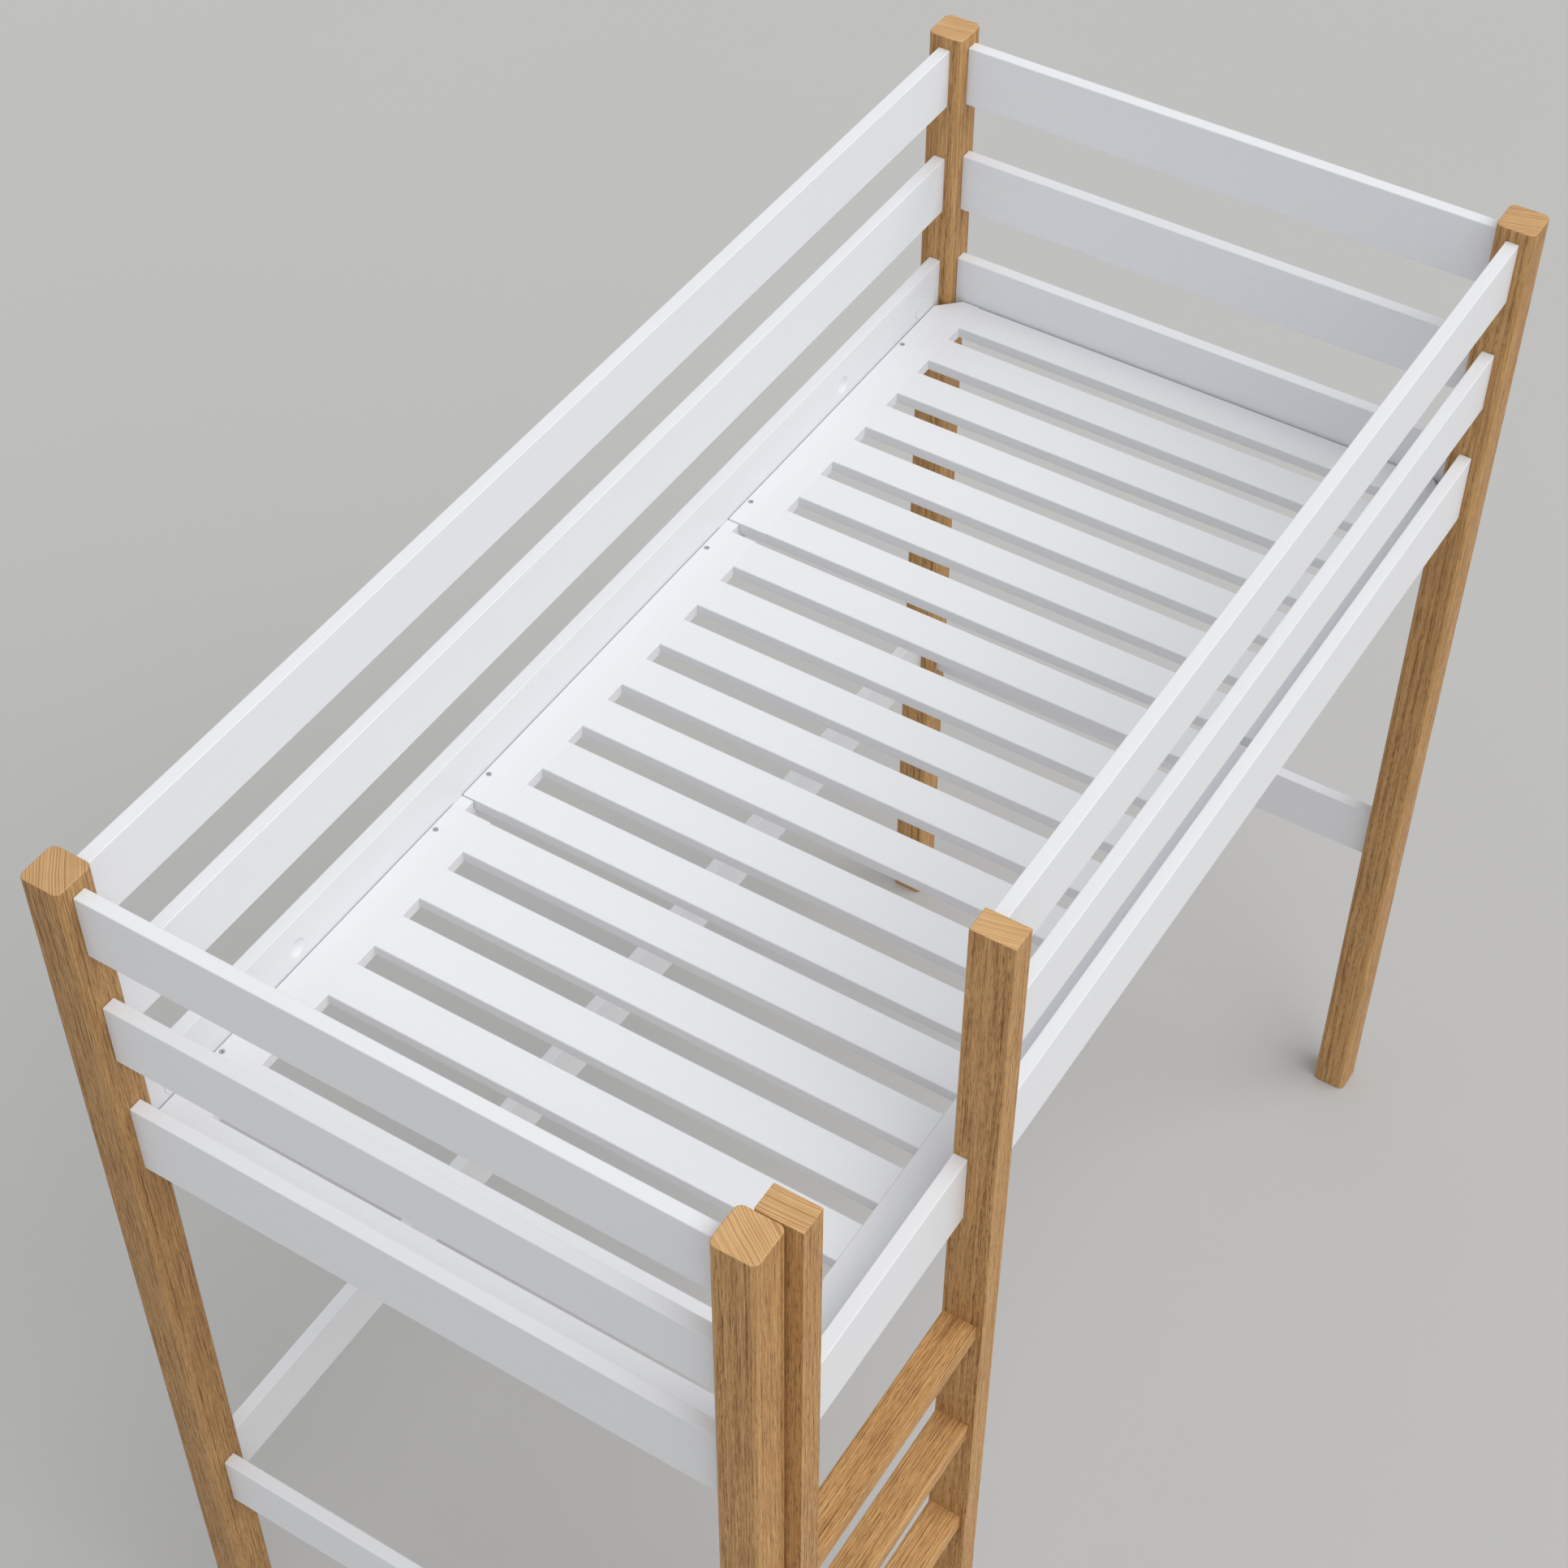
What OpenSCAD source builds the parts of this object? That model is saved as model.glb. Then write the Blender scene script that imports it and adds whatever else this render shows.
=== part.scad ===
// High bed with a slatted base in three panels and an upright ladder built into its front.
// X runs along the bed, from the near end to the far end. Y runs from the front to the wall side.
// Z is up. The origin is on the floor, under the middle of the bed.

/* [Mattress] */
// Length of the mattress space between the end boards
mattress_l = 2000; // [1900:10:2200]
// Width of the mattress space between the long boards
mattress_w = 900; // [800:10:1400]
// How far the slatted base lies below the top of the low boards
base_recess = 79; // [60:1:95]

/* [Posts] */
// Height of the corner posts
post_h = 1950; // [1935:5:2000]
// Side of the square posts
post_w = 60; // [56:1:80]
// Rounding of the upright corners of the posts
post_round = 10; // [6:1:12]
// Rounding of the top edges of the posts
post_top_round = 2; // [1:0.5:5]

/* [Boards] */
// Thickness of every board
board_t = 20; // [18:1:24]
// Height of the top and middle boards and of the stretchers
board_h = 100; // [80:5:120]
// Height of the low boards, which carry the slatted base
low_board_h = 120; // [115:1:140]
// Top of the low boards above the floor
low_board_top = 1540; // [1500:10:1560]
// Rise from one board to the next
board_pitch = 195; // [170:5:195]
// Top of the stretchers above the floor
stretcher_top = 710; // [500:10:740]
// Rounding of the long edges of the boards
board_round = 1.5; // [0.5:0.5:3]

/* [Slatted base] */
// Length of one panel
panel_l = 650; // [630:1:655]
// Play between the panels and the end boards
panel_play = 2.5; // [1:0.5:5]
// Play between the panels and the long boards
side_play = 1.5; // [1:0.5:3]
// Width of the stile along each side of a panel
stile_w = 63.5; // [55:0.5:80]
// Width of a slat
slat_w = 62; // [50:1:70]
// Thickness of the slats and stiles
slat_t = 20; // [18:1:24]
// How far the end slats stand back from the ends of the stiles
slat_setback = 1; // [0:0.5:3]
// Rounding of the long edges of the slats
slat_round = 2; // [0.5:0.5:4]
// Leg of the corner cut that clears a post
corner_cut = 35; // [35:1:45]

/* [Ladder] */
// Clear width between the ladder uprights
ladder_clear = 400; // [350:10:500]
// Thickness of the ladder uprights, along the bed
upright_t = 38; // [34:1:45]
// Depth of the ladder uprights, from the bed outwards
upright_d = 60; // [50:1:70]
// Height of the ladder uprights
upright_h = 1952; // [1935:1:2000]
// How far the uprights stand in from the inner face of the boards
upright_inset = 1.2; // [0:0.1:1.2]
// Depth of a rung, from back to front
rung_d = 50; // [45:1:56]
// Height of a rung
rung_h = 30; // [24:1:36]
// Rise from one rung to the next
rung_pitch = 240; // [200:5:260]

/* [Joints] */
// Diameter of the wooden dowels
dowel_d = 10; // [8:1:10]
// Depth of a dowel in the post or upright
dowel_in_post = 22; // [18:1:22]
// Depth of a dowel in the board or rung
dowel_in_board = 28; // [24:1:40]
// Diameter of the cam housings
cam_d = 35; // [30:1:35]
// Diameter of the caps over the cam housings
cap_d = 38; // [36:1:44]
// Distance of a cam housing from the post
cam_setback = 55; // [50:1:70]
// Diameter of the cam bolts
cam_bolt_d = 8; // [6:1:8]

/* [Recesses] */
// Diameter of the shallow round dishes in the low wall board
recess_d = 30; // [20:1:35]
// Depth of the dishes
recess_depth = 7; // [3:0.5:10]
// Distance of the dishes from the middle of the bed
recess_x = 680; // [500:1:800]
// Depth of the dishes' middles below the top of the board
recess_drop = 51; // [35:1:60]

/* [Hidden] */

$fn = 48;
eps = 0.02;
fit = 0.05;

oak = [0.76, 0.60, 0.40];
oak_end = [0.80, 0.66, 0.46];
white = [0.92, 0.92, 0.93];
steel = [0.55, 0.56, 0.58];
cap_white = [0.94, 0.94, 0.94];

// Plan: the boards are let into the middle of the posts' faces
post_x = mattress_l / 2 + board_t / 2;
post_y = mattress_w / 2 + board_t / 2;
clear_x = post_x - post_w / 2;
clear_y = post_y - post_w / 2;

// Ladder: uprights along X, and their place in Y
near_x0 = -clear_x;
near_x1 = near_x0 + upright_t;
far_x0 = near_x1 + ladder_clear;
far_x1 = far_x0 + upright_t;
upright_y1 = -mattress_w / 2 + upright_inset;
upright_y0 = upright_y1 - upright_d;
rung_y1 = -mattress_w / 2;
rung_y0 = rung_y1 - rung_d;

// Heights
middle_board_top = low_board_top + board_pitch;
top_board_top = middle_board_top + board_pitch;
base_z1 = low_board_top - base_recess;
base_z0 = base_z1 - slat_t;
low_mid_z = low_board_top - low_board_h / 2;

// Ledgers under the panels
ledger_w = 20;
ledger_h = 20;
ledger_z0 = base_z0 - ledger_h;
ledger_y = mattress_w / 2 - ledger_w / 2;
ledger_gap = 1;
block_drop = 2.5;

// Panels
panel_y = mattress_w / 2 - side_play;
slat_end_y = panel_y - stile_w;
panel_gap = (mattress_l - 2 * panel_play - 3 * panel_l) / 2;
slat_count = 7;
slat_pitch = (panel_l - 2 * slat_setback - slat_w) / (slat_count - 1);
tenon_l = 15;
tenon_w = 40;
tenon_t = 8;

// Each level holds the middle height of a board and half the spacing of its two dowels
top_level = [top_board_top - board_h / 2, board_h * 0.28];
middle_level = [middle_board_top - board_h / 2, board_h * 0.28];
low_level = [low_mid_z, low_board_h / 3];
stretcher_level = [stretcher_top - board_h / 2, board_h * 0.28];
gap_level = [low_mid_z, low_board_h * 0.18];
end_levels = [top_level, middle_level, low_level, stretcher_level];
front_levels = [top_level, middle_level, low_level];
rung_dowel_spread = rung_d * 0.26;

// A dowel is a point on the joint plane and the direction from the board into the post or upright
dowel_l = dowel_in_post + dowel_in_board;
function pair(p, dir, level) = [for (s = [-1, 1]) [[p.x, p.y, level[0] + s * level[1]], dir]];
end_board_dowels = [
    for (sx = [-1, 1], sy = [-1, 1], level = end_levels)
        each pair([sx * post_x, sy * clear_y, 0], [0, sy, 0], level)
];
wall_board_dowels = [
    for (sx = [-1, 1], level = end_levels) each pair([sx * clear_x, post_y, 0], [sx, 0, 0], level)
];
front_board_dowels = [
    for (level = front_levels) each concat(
        pair([clear_x, -post_y, 0], [1, 0, 0], level),
        pair([far_x1, -post_y, 0], [-1, 0, 0], level)
    )
];
gap_board_dowels = concat(
    pair([near_x1, -post_y, 0], [-1, 0, 0], gap_level),
    pair([far_x0, -post_y, 0], [1, 0, 0], gap_level)
);
rung_dowels = [
    for (i = [1:5], s = [-1, 1]) each [
        [[near_x1, rung_y0 + rung_d / 2 + s * rung_dowel_spread, rung_z(i)], [-1, 0, 0]],
        [[far_x0, rung_y0 + rung_d / 2 + s * rung_dowel_spread, rung_z(i)], [1, 0, 0]]
    ]
];
all_dowels = concat(end_board_dowels, wall_board_dowels, front_board_dowels, gap_board_dowels, rung_dowels);

// A cam is the middle of its housing on the board's inner face, and the directions of its bolt and its mouth
cams = [
    [[-clear_x + cam_setback, mattress_w / 2, low_mid_z], -1, -1],
    [[clear_x - cam_setback, mattress_w / 2, low_mid_z], 1, -1],
    [[far_x1 + cam_setback, -mattress_w / 2, low_mid_z], -1, 1],
    [[clear_x - cam_setback, -mattress_w / 2, low_mid_z], 1, 1]
];
cap_t = 2.5;
cap_proud = 0.6;
cam_h = 12;
cam_floor = 0.5;
cam_bolt_in_housing = 12;
cam_bolt_in_post = 30;

// Screws: panels to ledgers, ledgers to boards, near upright to its post
screw_d = 4;
screw_head_d = 8;
screw_head_h = 2.4;
panel_screw_l = 35;
ledger_screw_l = 32;
upright_screw_d = 6;
upright_screw_head_d = 12;
upright_screw_head_h = 3.5;
upright_screw_l = 70;
slot_t = 1.1;
slot_deep = 1.6;
screw_y = panel_y - 7.7;
screw_from_bed_end = 149;
screw_from_panel_end = 50;
near_panel_screws = [panel_x0(0) + screw_from_bed_end, panel_x0(0) + panel_l - screw_from_panel_end];
middle_panel_screws = [panel_x0(1) + screw_from_panel_end, panel_x0(1) + panel_l - screw_from_panel_end];
far_panel_screws = [panel_x0(2) + screw_from_panel_end, panel_x0(2) + panel_l - screw_from_bed_end];
panel_screw_xs = [near_panel_screws, middle_panel_screws, far_panel_screws];
ledger_screw_xs = [-700, -200, 200, 700];
upright_screw_zs = [300, 840, 1300, 1780];
upright_screw_y = (upright_y1 - post_y - post_w / 2) / 2;

function rung_z(i) = i * rung_pitch - rung_h / 2;
function panel_x0(i) = -mattress_l / 2 + panel_play + i * (panel_l + panel_gap);
function slat_x0(i, j) = panel_x0(i) + slat_setback + j * slat_pitch;
function inside(p, lo, hi) =
    p.x > lo.x - 1 && p.x < hi.x + 1
    && p.y > lo.y - 1 && p.y < hi.y + 1
    && p.z > lo.z - 1 && p.z < hi.z + 1;

// ---- Plain shapes ----

// Rectangle with round corners, centred
module round_rect(w, h, r) {
    square([w - 2 * r, h], center = true);
    square([w, h - 2 * r], center = true);
    for (sx = [-1, 1], sy = [-1, 1])
        translate([sx * (w / 2 - r), sy * (h / 2 - r)])
            circle(r);
}

// Bars between two corners, with their long edges rounded
module bar_x(lo, hi, r) {
    translate([lo.x, (lo.y + hi.y) / 2, (lo.z + hi.z) / 2])
        rotate([90, 0, 90])
            linear_extrude(height = hi.x - lo.x)
                round_rect(hi.y - lo.y, hi.z - lo.z, r);
}

module bar_y(lo, hi, r) {
    translate([(lo.x + hi.x) / 2, hi.y, (lo.z + hi.z) / 2])
        rotate([90, 0, 0])
            linear_extrude(height = hi.y - lo.y)
                round_rect(hi.x - lo.x, hi.z - lo.z, r);
}

module bar_z(lo, hi, r) {
    translate([(lo.x + hi.x) / 2, (lo.y + hi.y) / 2, lo.z])
        linear_extrude(height = hi.z - lo.z)
            round_rect(hi.x - lo.x, hi.y - lo.y, r);
}

module box(lo, hi) {
    translate(lo)
        cube(hi - lo);
}

// ---- Dowels and their bores ----

module dowel(at, dir, grow) {
    translate(at + dir * (dowel_in_post - dowel_in_board) / 2)
        rotate(dir.x != 0 ? [0, 90, 0] : [90, 0, 0])
            cylinder(d = dowel_d + 2 * grow, h = dowel_l + 2 * grow, center = true);
}

module dowel_bores(lo, hi) {
    for (d = all_dowels)
        if (inside(d[0], lo, hi))
            dowel(d[0], d[1], fit);
}

// ---- Posts ----

// Square post with round upright corners and a quarter-round along its top edges
module post_body() {
    core_w = post_w - 2 * post_top_round;
    linear_extrude(height = post_h - post_top_round)
        round_rect(post_w, post_w, post_round);
    linear_extrude(height = post_h)
        round_rect(core_w, core_w, post_round - post_top_round);
    translate([0, 0, post_h - post_top_round]) {
        for (a = [0:90:270])
            rotate([0, 0, a])
                translate([core_w / 2, 0, 0])
                    rotate([90, 0, 0])
                        cylinder(r = post_top_round, h = post_w - 2 * post_round, center = true);
        for (sx = [-1, 1], sy = [-1, 1])
            translate([sx * (post_w / 2 - post_round), sy * (post_w / 2 - post_round), 0])
                rotate_extrude()
                    translate([post_round - post_top_round, 0])
                        intersection() {
                            circle(post_top_round);
                            translate([-(post_round - post_top_round), -post_top_round])
                                square([post_round, 2 * post_top_round]);
                        }
    }
}

module post(sx, sy) {
    reach = [post_w / 2, post_w / 2, 0];
    middle = [sx * post_x, sy * post_y, 0];
    color(oak)
        difference() {
            translate(middle)
                post_body();
            dowel_bores(middle - reach, middle + reach + [0, 0, post_h]);
            cam_bolt_bores(middle - reach, middle + reach + [0, 0, post_h]);
            if (sx < 0 && sy < 0)
                upright_screw_shapes(fit);
        }
}

// ---- Boards and stretchers ----

module end_board(sx, top, h) {
    lo = [sx * post_x - board_t / 2, -clear_y, top - h];
    hi = [sx * post_x + board_t / 2, clear_y, top];
    color(white)
        difference() {
            bar_y(lo, hi, board_round);
            dowel_bores(lo, hi);
        }
}

module long_board(x0, x1, side, top, h) {
    lo = [x0, side * post_y - board_t / 2, top - h];
    hi = [x1, side * post_y + board_t / 2, top];
    color(white)
        difference() {
            bar_x(lo, hi, board_round);
            dowel_bores(lo, hi);
            if (h == low_board_h) {
                cam_bores(lo, hi);
                ledger_screw_bores(lo, hi);
            }
            if (side > 0 && h == low_board_h)
                recesses();
        }
}

module recesses() {
    ball_r = (recess_d * recess_d / 4 + recess_depth * recess_depth) / (2 * recess_depth);
    for (sx = [-1, 1])
        translate([sx * recess_x, mattress_w / 2 + recess_depth - ball_r, low_board_top - recess_drop])
            sphere(r = ball_r);
}

// ---- Cam connectors ----

// Housing bore, cap seat and bolt bore of every cam that lies in the board
module cam_bores(lo, hi) {
    for (c = cams)
        if (inside(c[0], lo, hi)) {
            translate(c[0])
                rotate([-c[2] * 90, 0, 0])
                    translate([0, 0, -(cap_t + cam_h + cam_floor)])
                        cylinder(d = cam_d + 0.4, h = cap_t + cam_h + cam_floor + 1);
            translate(c[0])
                rotate([-c[2] * 90, 0, 0])
                    translate([0, 0, -(cap_t - cap_proud)])
                        cylinder(d = cap_d + 0.4, h = cap_t + 1);
            cam_bolt(c, fit);
        }
}

module cam_bolt_bores(lo, hi) {
    for (c = cams)
        if (inside([c[0].x + c[1] * (cam_setback + cam_bolt_in_post / 2), c[0].y, c[0].z], lo, hi))
            cam_bolt(c, fit);
}

// The bolt runs along X in the middle of the board's thickness
module cam_bolt(c, grow) {
    start = cam_d / 2 - cam_bolt_in_housing;
    finish = cam_setback + cam_bolt_in_post;
    translate([c[0].x + c[1] * (start + finish) / 2, c[0].y - c[2] * board_t / 2, c[0].z])
        rotate([0, 90, 0])
            cylinder(d = cam_bolt_d + 2 * grow, h = finish - start + 2 * grow, center = true);
}

module cam_housing(c) {
    difference() {
        translate(c[0])
            rotate([-c[2] * 90, 0, 0])
                translate([0, 0, -(cap_t + cam_h)])
                    cylinder(d = cam_d, h = cam_h);
        cam_bolt(c, fit);
    }
}

module cover_cap(c) {
    translate(c[0])
        rotate([-c[2] * 90, 0, 0])
            translate([0, 0, -(cap_t - cap_proud)])
                cylinder(d = cap_d, h = cap_t);
}

// ---- Screws ----

// Countersunk screw along -Z with its head flush at the origin
module screw(d, head_d, head_h, l, grow) {
    translate([0, 0, -head_h])
        cylinder(d1 = d + 2 * grow, d2 = head_d + 2 * grow, h = head_h + eps);
    translate([0, 0, -l - grow])
        cylinder(d = d + 2 * grow, h = l + grow);
}

module cross_slot(head_d) {
    for (a = [0, 90])
        rotate([0, 0, a])
            translate([-head_d * 0.3, -slot_t / 2, -slot_deep])
                cube([head_d * 0.6, slot_t, slot_deep + 1]);
}

module panel_screw_shapes(i, grow) {
    for (x = panel_screw_xs[i], sy = [-1, 1])
        translate([x, sy * screw_y, base_z1 - eps])
            screw(screw_d, screw_head_d, screw_head_h, panel_screw_l, grow);
}

module ledger_screw(x, side, grow) {
    translate([x, side * (mattress_w / 2 - ledger_w), ledger_z0 + ledger_h / 2])
        rotate([side * 90, 0, 0])
            screw(screw_d, screw_head_d, screw_head_h, ledger_screw_l, grow);
}

module ledger_screw_bores(lo, hi) {
    for (x = ledger_screw_xs, side = [-1, 1])
        if (inside([x, side * (mattress_w / 2 + 1), ledger_z0 + ledger_h / 2], lo, hi))
            ledger_screw(x, side, fit);
}

module upright_screw_shapes(grow) {
    for (z = upright_screw_zs)
        translate([near_x1, upright_screw_y, z])
            rotate([0, 90, 0])
                screw(upright_screw_d, upright_screw_head_d, upright_screw_head_h, upright_screw_l, grow);
}

// ---- Ladder ----

module upright(x0, x1) {
    lo = [x0, upright_y0, 0];
    hi = [x1, upright_y1, upright_h];
    color(oak)
        difference() {
            bar_z(lo, hi, board_round / 2);
            dowel_bores(lo, hi);
            cam_bolt_bores(lo, hi);
            if (x0 < -mattress_l / 2 + post_w)
                upright_screw_shapes(fit);
        }
}

module rung(i) {
    lo = [near_x1, rung_y0, rung_z(i) - rung_h / 2];
    hi = [far_x0, rung_y1, rung_z(i) + rung_h / 2];
    color(oak)
        difference() {
            bar_x(lo, hi, board_round);
            dowel_bores(lo, hi);
        }
}

// ---- Slatted base ----

module stile(i, side) {
    x0 = panel_x0(i);
    y_in = min(side * slat_end_y, side * panel_y);
    lo = [x0, y_in, base_z0];
    hi = [x0 + panel_l, y_in + stile_w, base_z1];
    color(white)
        difference() {
            bar_x(lo, hi, board_round / 2);
            for (j = [0:slat_count - 1])
                tenon(i, j, side, fit);
            panel_screw_shapes(i, fit);
            if (i == 0)
                corner_wedge([x0, side * panel_y]);
            if (i == 2)
                corner_wedge([x0 + panel_l, side * panel_y]);
        }
}

// Square bar turned by 45 degrees: it takes off a corner whose legs are corner_cut long
module corner_wedge(corner) {
    side = corner_cut * sqrt(2);
    translate([corner.x, corner.y, base_z0 - 1])
        rotate([0, 0, 45])
            translate([-side / 2, -side / 2, 0])
                cube([side, side, slat_t + 2]);
}

module tenon(i, j, side, grow) {
    x = slat_x0(i, j) + slat_w / 2;
    y = side * (slat_end_y + tenon_l / 2);
    translate([x, y, (base_z0 + base_z1) / 2])
        cube([tenon_w + 2 * grow, tenon_l + 2 * grow, tenon_t + 2 * grow], center = true);
}

module slat(i, j) {
    x0 = slat_x0(i, j);
    bar_y([x0, -slat_end_y, base_z0], [x0 + slat_w, slat_end_y, base_z1], slat_round);
    for (side = [-1, 1])
        translate([0, -side * eps, 0])
            tenon(i, j, side, 0);
}

module panel_slats(i) {
    color(white)
        for (j = [0:slat_count - 1])
            slat(i, j);
}

module ledger(side) {
    x0 = -clear_x + ledger_gap;
    x1 = clear_x - ledger_gap;
    lo = [x0, side * ledger_y - ledger_w / 2, ledger_z0];
    hi = [x1, side * ledger_y + ledger_w / 2, base_z0];
    color(white)
        difference() {
            box(lo, hi);
            for (i = [0:2])
                panel_screw_shapes(i, fit);
            for (x = ledger_screw_xs)
                ledger_screw(x, side, fit);
            if (side < 0)
                for (x = [near_x0, far_x0])
                    box([x - 1, lo.y - 1, lo.z - 1], [x + upright_t + 1, upright_y1 + 0.3, hi.z + 1]);
        }
}

module spacer_blocks() {
    color(white)
        for (i = [0, 1], side = [-1, 1])
            translate([panel_x0(i) + panel_l + panel_gap / 2, side * ledger_y, base_z0])
                translate([-panel_gap / 2 + 0.5, -ledger_w / 2, 0])
                    cube([panel_gap - 1, ledger_w, slat_t - block_drop]);
}

// ---- Groups of like fasteners ----

module dowels() {
    color(oak_end)
        for (d = all_dowels)
            dowel(d[0], d[1], 0);
}

module cam_housings() {
    color(steel)
        for (c = cams)
            cam_housing(c);
}

module cam_bolts() {
    color(steel)
        for (c = cams)
            cam_bolt(c, 0);
}

module cover_caps() {
    color(cap_white)
        for (c = cams)
            cover_cap(c);
}

module panel_screws() {
    color(steel)
        for (i = [0:2])
            difference() {
                panel_screw_shapes(i, 0);
                for (x = panel_screw_xs[i], sy = [-1, 1])
                    translate([x, sy * screw_y, base_z1])
                        cross_slot(screw_head_d);
            }
}

module ledger_screws() {
    color(steel)
        for (x = ledger_screw_xs, side = [-1, 1])
            ledger_screw(x, side, 0);
}

module upright_screws() {
    color(steel)
        upright_screw_shapes(0);
}

// ---- The bed ----

post(-1, 1);  // post_near_wall
post(-1, -1);  // post_near_front
post(1, 1);  // post_far_wall
post(1, -1);  // post_far_front
end_board(-1, top_board_top, board_h);  // near_end_board_top
end_board(-1, middle_board_top, board_h);  // near_end_board_middle
end_board(-1, low_board_top, low_board_h);  // near_end_board_low
end_board(1, top_board_top, board_h);  // far_end_board_top
end_board(1, middle_board_top, board_h);  // far_end_board_middle
end_board(1, low_board_top, low_board_h);  // far_end_board_low
long_board(-clear_x, clear_x, 1, top_board_top, board_h);  // wall_board_top
long_board(-clear_x, clear_x, 1, middle_board_top, board_h);  // wall_board_middle
long_board(-clear_x, clear_x, 1, low_board_top, low_board_h);  // wall_board_low
long_board(far_x1, clear_x, -1, top_board_top, board_h);  // front_board_top
long_board(far_x1, clear_x, -1, middle_board_top, board_h);  // front_board_middle
long_board(far_x1, clear_x, -1, low_board_top, low_board_h);  // front_board_low
long_board(near_x1, far_x0, -1, low_board_top, low_board_h);  // ladder_gap_board
end_board(-1, stretcher_top, board_h);  // near_end_stretcher
end_board(1, stretcher_top, board_h);  // far_end_stretcher
long_board(-clear_x, clear_x, 1, stretcher_top, board_h);  // wall_stretcher
upright(near_x0, near_x1);  // ladder_upright_near
upright(far_x0, far_x1);  // ladder_upright_far
rung(1);  // rung_1
rung(2);  // rung_2
rung(3);  // rung_3
rung(4);  // rung_4
rung(5);  // rung_5
ledger(1);  // wall_ledger
ledger(-1);  // front_ledger
spacer_blocks();
stile(0, 1);  // near_panel_wall_stile
stile(0, -1);  // near_panel_front_stile
panel_slats(0);  // near_panel_slats
stile(1, 1);  // middle_panel_wall_stile
stile(1, -1);  // middle_panel_front_stile
panel_slats(1);  // middle_panel_slats
stile(2, 1);  // far_panel_wall_stile
stile(2, -1);  // far_panel_front_stile
panel_slats(2);  // far_panel_slats
dowels();
cam_housings();
cam_bolts();
cover_caps();
panel_screws();
ledger_screws();
upright_screws();
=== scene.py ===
import functools
import math
import random

import bmesh
import bpy
from bpy.props import FloatProperty, FloatVectorProperty, PointerProperty
from bpy.types import Operator, Panel, PropertyGroup
from mathutils import Matrix, Vector


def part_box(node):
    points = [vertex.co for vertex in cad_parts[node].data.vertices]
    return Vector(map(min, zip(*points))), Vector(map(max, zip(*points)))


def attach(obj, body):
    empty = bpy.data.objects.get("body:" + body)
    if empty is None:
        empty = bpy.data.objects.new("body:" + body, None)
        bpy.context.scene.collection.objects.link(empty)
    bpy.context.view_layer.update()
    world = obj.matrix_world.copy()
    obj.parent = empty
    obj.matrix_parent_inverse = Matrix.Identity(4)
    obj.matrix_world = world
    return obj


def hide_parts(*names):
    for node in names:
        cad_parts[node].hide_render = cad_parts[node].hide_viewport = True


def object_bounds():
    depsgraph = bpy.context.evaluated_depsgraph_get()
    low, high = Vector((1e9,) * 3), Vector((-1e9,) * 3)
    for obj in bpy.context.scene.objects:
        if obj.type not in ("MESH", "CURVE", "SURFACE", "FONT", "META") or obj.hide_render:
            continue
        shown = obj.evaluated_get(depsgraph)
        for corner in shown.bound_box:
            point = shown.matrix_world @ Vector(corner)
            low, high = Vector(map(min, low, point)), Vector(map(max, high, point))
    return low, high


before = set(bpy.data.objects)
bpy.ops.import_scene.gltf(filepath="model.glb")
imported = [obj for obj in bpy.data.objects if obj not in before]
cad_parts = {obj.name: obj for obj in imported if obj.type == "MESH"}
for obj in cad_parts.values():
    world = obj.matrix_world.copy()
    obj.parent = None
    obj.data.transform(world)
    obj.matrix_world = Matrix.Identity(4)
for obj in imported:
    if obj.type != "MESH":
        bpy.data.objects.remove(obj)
CAD_LO, CAD_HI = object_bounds()

bl_info = {
    "name": "High Bed with Ladder",
    "version": (1, 0, 0),
    "blender": (4, 5, 0),
    "location": "3D View > Sidebar > High Bed",
    "description": "Builds the finished oak and white pieces of a high bed around its packed frame",
    "category": "Object",
}

MM = 0.001
WELD = 0.01 * MM
X_AXIS, Y_AXIS, Z_AXIS = 0, 1, 2
ACROSS = {X_AXIS: (Y_AXIS, Z_AXIS), Y_AXIS: (X_AXIS, Z_AXIS), Z_AXIS: (X_AXIS, Y_AXIS)}
dice = random.Random(19)

# Notches in the front ledger: room above and below it, room behind the upright, and rounding of the cutter
NOTCH_OVER = 10 * MM
NOTCH_BEHIND = 0.3 * MM
NOTCH_ROUND = 0.1 * MM
# Segments of a quarter turn and of a whole turn
QUARTER_STEPS = 5
CORNER_STEPS = 8
LATHE_STEPS = 48
# How far a cutter stands above the face that it cuts
CUTTER_ABOVE = 3 * MM
# Tints of the lamp and of the sky
LAMP_TINT = (1.0, 0.985, 0.96)
SKY_TINT = (0.96, 0.975, 1.0, 1.0)
# Way from the middle of the bed to the lamp, and half the width of the floor, in metres
LAMP_FROM_MIDDLE = Vector((0.0, -2.4, 3.1))
FLOOR_REACH = 30
# Drive of a screw: its points, and the radius of their tips and of the waist between them per head diameter
STAR_POINTS = 6
STAR_TIPS = 0.31
STAR_WAIST = 0.18
# Segments round a screw and round a cap
SCREW_STEPS = 24
CAP_STEPS = 64
# Width of a year's growth in the oak and in the painted wood
OAK_RING = 3.6 * MM
PAINTED_RING = 6.5 * MM
# Seeds of the pieces that are drawn at random
RUNG_SEED = 4
CAP_SEED = 5
SLAT_SEED = 11
SCREW_SEED = 31


# ---- What a user would change ----


def length(name, description, default):
    """A size in metres."""
    return FloatProperty(
        name=name, description=description, default=default, min=0, unit="LENGTH", precision=4
    )


def colour(name, description, default):
    """A colour in linear values."""
    return FloatVectorProperty(
        name=name, description=description, default=default, min=0, max=1, size=3, subtype="COLOR"
    )


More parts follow.
